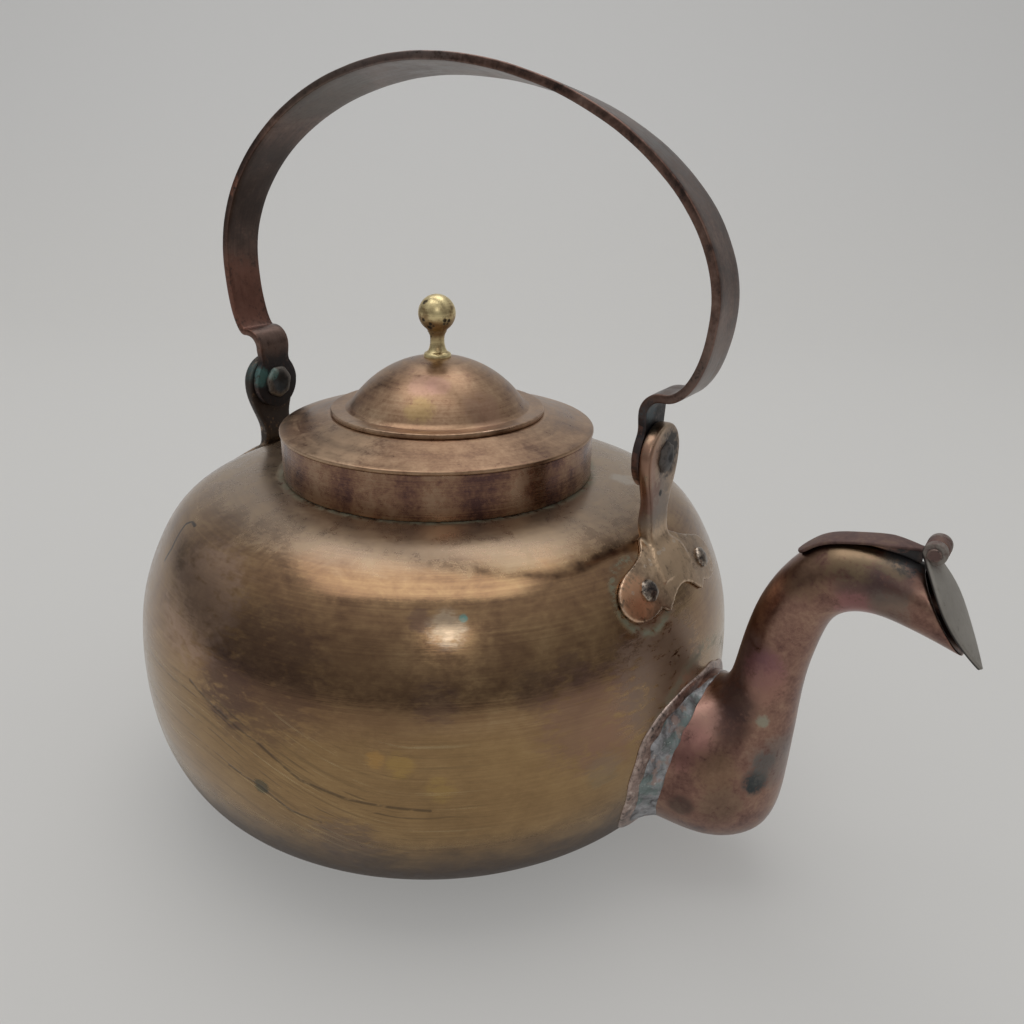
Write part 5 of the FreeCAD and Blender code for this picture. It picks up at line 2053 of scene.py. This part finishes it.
@dataclass
class Studio:
    """Pale sweep, soft light and the camera."""

    eye: Spot = (195.23, -254.33, 228.59)
    look: Spot = (-0.50125, 0.78469, -0.36471)
    roll: float = 1.04
    lens: float = 31.63
    right_of_view: Spot = (0.843, 0.538, 0.0)
    floor_tone: Colour = (0.66, 0.65, 0.63)
    back_tone: Colour = (0.66, 0.66, 0.66)
    glow_tone: Colour = (0.6, 0.595, 0.58)
    glow_share: float = 0.4
    horizon_tone: Colour = (0.4, 0.4, 0.395)
    room_tone: Colour = (0.17, 0.165, 0.16)
    ceiling_tone: Colour = (0.52, 0.52, 0.52)
    speck_tone: Colour = (0.6, 0.595, 0.58)
    bend_start: float = 900.0
    bend_radius: float = 700.0
    sweep_top: float = 2400.0
    floor_rows: tuple[float, ...] = (-2600.0, -600.0, 0.0)
    sweep_columns: tuple[float, ...] = (-2400.0, -800.0, 0.0, 800.0, 2400.0)
    lamps: tuple[Lamp, ...] = (
        Lamp("top_light", (-0.326, 0.278, 1.5), (-0.326, 0.278, 0.0), (1.38, 1.58), 9.1),
        Lamp("window_light", (0.79, -0.94, 0.86), (0.06, -0.07, 0.1), (0.28, 0.28), 0.66),
    )

    def make_camera(self) -> None:
        """Camera at the photograph's place."""
        ahead = Vector(self.look).normalized()
        level = Vector((ahead.y, -ahead.x, 0.0)).normalized()
        up = level.cross(ahead)
        turn = radians(self.roll)
        right = level * cos(turn) + up * sin(turn)
        rise = up * cos(turn) - level * sin(turn)
        data = bpy.data.cameras.new("view")
        data.sensor_width, data.lens, data.clip_start = 36.0, self.lens, 0.01
        camera = bpy.data.objects.new("view", data)
        spin = Matrix((right, rise, -ahead)).transposed().to_4x4()
        camera.matrix_world = Matrix.Translation(Vector(self.eye) * MM) @ spin
        bpy.context.scene.collection.objects.link(camera)
        bpy.context.scene.camera = camera

    def make_sweep(self) -> None:
        """Floor that bends up into a backdrop behind the kettle."""
        ahead = Vector((self.look[0], self.look[1], 0.0)).normalized()
        side = Vector((ahead.y, -ahead.x, 0.0))
        path = [(place, 0.0) for place in (*self.floor_rows, self.bend_start)]
        for k in range(1, 17):
            a = 0.5 * pi * k / 16
            path.append((self.bend_start + self.bend_radius * sin(a), self.bend_radius * (1.0 - cos(a))))
        path.append((self.bend_start + self.bend_radius, self.sweep_top))
        sheet, rows = Sheet(), []
        for d, z in path:
            rows.append(sheet.row([ahead * d + side * w + Vector((0.0, 0.0, z)) for w in self.sweep_columns]))
        for a, b in zip(rows, rows[1:]):
            sheet.join(a, b, closed=False)
        piece = sheet.build("paper_sweep", 180.0)
        r = Recipe("pale_paper")
        rise = r.axis(2)
        speck = r.grain((40.0,) * 3, 4.0, 0.6, 2.0)
        r.colour = r.blend(rise.step(2.0, 400.0), self.floor_tone, self.back_tone)
        r.over(speck * 0.1, self.speck_tone)
        paper = r.dress(0.9, 0.0, speck, 0.2)
        camera, glossy, clear = (
            r.node("ShaderNodeLightPath", output=f"Is {ray} Ray") for ray in ("Camera", "Glossy", "Transmission")
        )
        glow = r.node("ShaderNodeEmission", None, {"Color": self.glow_tone, "Strength": 1.0})
        mixed = r.node(
            "ShaderNodeMixShader", None,
            {0: camera.most(glossy).most(clear) * self.glow_share, 1: Value(r, r.shader.outputs[0]), 2: glow},
        )
        r.feed(r.output.inputs[0], mixed)
        piece.data.materials.append(paper)

    def make_lights(self) -> None:
        """Large soft light from above and a dim room round it."""
        for lamp in self.lamps:
            lamp.hang(Vector(self.right_of_view))
        world = bpy.data.worlds.new("room")
        world.use_nodes = True
        room = Network(world.node_tree)
        way = room.node("ShaderNodeTexCoord", output="Generated")
        height = room.node("ShaderNodeSeparateXYZ", None, {0: way}, 2)
        stops = ((0.1, self.room_tone), (0.75, self.ceiling_tone))
        tone = room.node("ShaderNodeValToRGB", {"stops": stops}, {0: height})
        seen = room.node("ShaderNodeLightPath", output="Is Camera Ray")
        tone = room.node("ShaderNodeMix", {"data_type": "RGBA"}, {0: seen, 6: tone, 7: self.horizon_tone}, 2)
        glow = room.node("ShaderNodeBackground", None, {"Color": tone, "Strength": 1.0})
        room.feed(room.tree.nodes.new("ShaderNodeOutputWorld").inputs[0], glow)
        bpy.context.scene.world = world

    def build(self) -> None:
        """Sets the whole stage."""
        self.make_camera()
        self.make_sweep()
        self.make_lights()
        bpy.context.scene.view_settings.view_transform = "Standard"


BODY = BodyFinish()
SPOUT = CopperFinish(
    "reddened_spout", ((0.11, 0.055, 0.046), (0.205, 0.108, 0.084), (0.29, 0.165, 0.122), (0.4, 0.25, 0.175)),
    streak=(14.0, 14.0, 14.0), streak_share=0.1, sheen=(0.26, 0.42), edge_share=0.2,
    grime=(0.05, 0.06, 0.06), seed=4.0,
    patches=stains(
        ((134.8, -13.4, 46.0), 5.5, (0.018, 0.038, 0.044), 0.92, 0.6),
        ((136.6, -11.3, 52.5), 5.0, (0.05, 0.06, 0.066), 0.7, 0.3),
        ((134.2, -11.7, 67.4), 2.4, (0.34, 0.38, 0.3), 0.6),
        # painted shade: dark patches in the concave crease where the neck meets the bulb
        ((124.4, -11.7, 71.4), 9.0, (0.055, 0.03, 0.03), 0.65, 0.3),
        ((124.6, -14.6, 64.6), 7.0, (0.07, 0.036, 0.036), 0.6),
        ((125.4, -8.7, 84.7), 11.0, (0.09, 0.054, 0.054), 0.6, 0.4),
        # painted highlights: pink glints on the bulging side of the bulb
        ((114.3, -15.3, 64.0), 9.0, (0.46, 0.26, 0.21), 0.6),
        ((114.2, -22.3, 55.9), 10.0, (0.34, 0.16, 0.14), 0.6),
        ((123.8, -21.1, 48.9), 9.0, (0.26, 0.165, 0.095), 0.5),
        ((127.0, -20.3, 37.7), 9.0, (0.22, 0.155, 0.1), 0.5),
        ((115.4, -25.6, 35.6), 5.0, (0.05, 0.04, 0.035), 0.6),
        ((131.9, -10.9, 84.5), 8.0, (0.26, 0.11, 0.13), 0.6),
        ((133.1, -11.1, 79.0), 8.0, (0.38, 0.2, 0.155), 0.55),
        ((138.3, -7.6, 51.9), 11.0, (0.21, 0.19, 0.17), 0.5),
        ((155.4, -9.7, 120.4), 9.0, (0.075, 0.046, 0.05), 0.6, 0.2),
        ((162.4, -8.8, 121.9), 8.0, (0.075, 0.046, 0.05), 0.6, 0.2),
        ((150.4, -6.2, 126.0), 9.0, (0.25, 0.185, 0.1), 0.65),
        ((162.6, -5.9, 125.8), 5.0, (0.24, 0.19, 0.11), 0.5),
        ((154.4, -7.8, 111.4), 7.0, (0.34, 0.15, 0.15), 0.65),
        ((163.7, -9.5, 114.0), 7.0, (0.2, 0.16, 0.13), 0.6),
        # painted shadow: near-black beak top under the hinge leaf by the mouth
        ((166.0, -1.0, 128.0), 8.0, (0.03, 0.036, 0.04), 0.92, 0.6),
        ((139.6, -8.6, 117.8), 9.0, (0.2, 0.13, 0.075), 0.5),
    ),
)
LIP = CopperFinish(
    "crusted_lip", ((0.05, 0.045, 0.042), (0.26, 0.19, 0.165), (0.4, 0.29, 0.25), (0.66, 0.56, 0.5)),
    streak=(3.0, 3.0, 3.0), cloud=6.0, sheen=(0.34, 0.52), edge=(0.62, 0.5, 0.44), edge_share=0.5,
    grime=(0.03, 0.03, 0.03), grime_share=0.8, seed=41.0,
)
LEAF = CopperFinish(
    "dulled_leaf", ((0.06, 0.034, 0.034), (0.115, 0.066, 0.06), (0.17, 0.1, 0.086), (0.26, 0.17, 0.12)),
    streak=(6.0, 20.0, 6.0), streak_share=0.15, cloud=9.0, sheen=(0.45, 0.6), edge=(0.36, 0.2, 0.14),
    grime=(0.03, 0.03, 0.032), grime_share=0.6, seed=6.0,
    patches=stains(((150.0, 0.0, 132.0), 60.0, (0.13, 0.078, 0.07), 0.3, 0.55)),
)
FLAP = CopperFinish(
    "greyed_flap", ((0.19, 0.165, 0.14), (0.27, 0.245, 0.21), (0.35, 0.32, 0.28), (0.45, 0.41, 0.35)),
    streak=(6.0, 24.0, 6.0), streak_share=0.2, cloud=11.0, sheen=(0.44, 0.6), edge=(0.36, 0.28, 0.21),
    edge_share=0.25, seed=9.0,
    # painted shade on the flap's edge and underside, in the shadowed gap over the mouth
    under=((170.9, 0.0, 127.1), (0.8526, 0.0, 0.5225), (0.03, 0.024, 0.022)),
    patches=stains(
        ((178.0, 0.0, 118.0), 40.0, (0.34, 0.32, 0.29), 0.7, 0.6),
        ((171.7, 0.0, 131.0), 6.5, (0.15, 0.088, 0.078), 0.95, 0.6),
    ),
)
EAR = CopperFinish(
    "browned_ear", ((0.2, 0.138, 0.092), (0.33, 0.228, 0.15), (0.44, 0.31, 0.205), (0.55, 0.41, 0.29)),
    streak=(5.0, 5.0, 20.0), streak_share=0.2, cloud=12.0, sheen=(0.26, 0.4), edge=(0.66, 0.54, 0.42),
    edge_share=0.75, grime_share=0.5, seed=14.0,
    patches=stains(
        ((88.5, -10.0, 145.0), 8.0, (0.44, 0.25, 0.17), 0.7),
        ((88.5, -3.0, 127.0), 11.0, (0.2, 0.165, 0.145), 0.75, 0.35),
        ((96.0, -28.4, 105.3), 9.0, (0.7, 0.39, 0.23), 0.85),
        ((96.2, -4.0, 109.0), 15.0, (0.66, 0.47, 0.3), 0.75),
        ((85.5, -8.0, 131.0), 9.0, (0.24, 0.12, 0.085), 0.8),
        ((86.5, -11.0, 141.0), 9.0, (0.3, 0.165, 0.115), 0.7),
        ((90.5, 2.5, 143.0), 9.5, (0.035, 0.038, 0.044), 0.92, 0.9),
        ((89.9, -1.6, 130.4), 1.5, (0.02, 0.02, 0.02), 0.95, 0.8),
        ((-88.0, 0.0, 136.0), 36.0, (0.028, 0.025, 0.027), 0.92, 0.5),
        ((-86.0, -9.0, 147.0), 5.0, (0.09, 0.16, 0.16), 0.5),
    ),
)
RIVET = CopperFinish(
    "hammered_rivet", ((0.03, 0.027, 0.028), (0.075, 0.06, 0.054), (0.15, 0.115, 0.092), (0.34, 0.27, 0.21)),
    streak=(3.0, 3.0, 3.0), streak_share=0.2, cloud=4.0, sheen=(0.24, 0.4), edge=(0.62, 0.52, 0.42),
    edge_share=0.6, grime_share=0.6, seed=18.0,
    patches=stains(
        ((-81.0, 0.0, 142.0), 11.0, (0.03, 0.036, 0.04), 0.92, 0.6),
        ((-81.5, -3.5, 146.0), 3.0, (0.12, 0.3, 0.29), 0.7),
        ((91.0, 0.0, 142.0), 11.0, (0.045, 0.045, 0.05), 0.92, 0.75),
        ((171.7, 0.0, 131.0), 14.0, (0.15, 0.088, 0.078), 0.9, 0.6),
    ),
)
HANDLE = CopperFinish(
    "dark_strap", ((0.045, 0.03, 0.026), (0.09, 0.056, 0.046), (0.145, 0.092, 0.074), (0.24, 0.165, 0.135)),
    streak=(16.0, 1.0, 16.0), cloud=16.0, sheen=(0.28, 0.46), edge=(0.34, 0.15, 0.1), edge_share=0.65, seed=22.0,
    patches=stains(
        ((-96.3, -3.8, 176.0), 19.0, (0.24, 0.105, 0.075), 0.75),
        ((-87.9, 4.3, 215.9), 30.0, (0.036, 0.027, 0.024), 0.75),
        # painted reflection: grey on the crown top for the overhead light's reflection
        ((-9.9, -4.8, 255.9), 32.0, (0.19, 0.175, 0.17), 0.5),
        ((-43.6, -1.9, 248.3), 24.0, (0.105, 0.097, 0.085), 0.6),
        ((101.6, -8.0, 172.8), 16.0, (0.19, 0.145, 0.125), 0.5),
        ((84.0, 0.0, 148.0), 18.0, (0.018, 0.02, 0.024), 0.92, 0.5),
        ((84.0, -4.0, 157.0), 4.5, (0.1, 0.14, 0.16), 0.7),
        ((-84.0, 0.0, 141.0), 17.0, (0.02, 0.02, 0.023), 0.93, 0.5),
        ((-84.0, -8.0, 145.0), 4.5, (0.12, 0.3, 0.29), 0.65),
        ((-86.0, 0.0, 160.0), 9.0, (0.16, 0.105, 0.085), 0.6),
    ),
)
LID = CopperFinish(
    "red_brown_lid", ((0.21, 0.114, 0.07), (0.315, 0.188, 0.112), (0.4, 0.25, 0.152), (0.5, 0.34, 0.215)),
    # bright edge colour: rubbed wear and painted highlights along the rims
    cloud=22.0, sheen=(0.27, 0.42), edge=(0.85, 0.6, 0.42), edge_share=0.9, grime=(0.16, 0.13, 0.09),
    grime_share=0.12, seed=27.0,
    patches=stains(
        ((8.1, -18.9, 157.0), 6.0, (0.46, 0.27, 0.21), 0.5),
        ((12.4, -16.2, 157.1), 5.0, (0.44, 0.25, 0.2), 0.5),
        ((11.8, -25.8, 150.4), 6.0, (0.44, 0.31, 0.12), 0.5),
        # painted reflection: lighter patch on the left of the lid's top, where it mirrors the pale backdrop
        ((-8.0, -48.0, 140.0), 22.0, (0.58, 0.41, 0.27), 0.55),
        ((28.0, -10.0, 150.0), 9.0, (0.3, 0.17, 0.12), 0.5),
    ),
)
SKIRT = CopperFinish(
    "banded_skirt", ((0.105, 0.052, 0.046), (0.2, 0.104, 0.072), (0.29, 0.166, 0.104), (0.38, 0.245, 0.16)),
    streak=(60.0, 60.0, 0.6), streak_share=0.25, cloud=16.0, sheen=(0.22, 0.36), edge=(0.55, 0.32, 0.18),
    edge_share=0.6, grime=(0.12, 0.1, 0.07), grime_share=0.2, bands=0.75, seed=33.0,
)


def main() -> None:
    """Builds the kettle piece by piece."""
    logging.basicConfig(level=logging.INFO, format="%(name)s: %(message)s")
    body, spout, lip, leaf, flap, ear, rivet, handle, lid, skirt = (
        finish.paint() for finish in (BODY, SPOUT, LIP, LEAF, FLAP, EAR, RIVET, HANDLE, LID, SKIRT)
    )
    belly = Belly()
    neck = Spout(belly)
    belly.install(body, neck.make_core())
    neck.install(spout, lip, SolderFinish().paint(), leaf, flap, rivet)
    for side in Side:
        Ear(belly, side).install(ear, rivet)
    Strap().install(handle)
    Lid().install(lid, skirt, BrassFinish().paint())
    Studio().build()


if __name__ == "__main__":
    main()
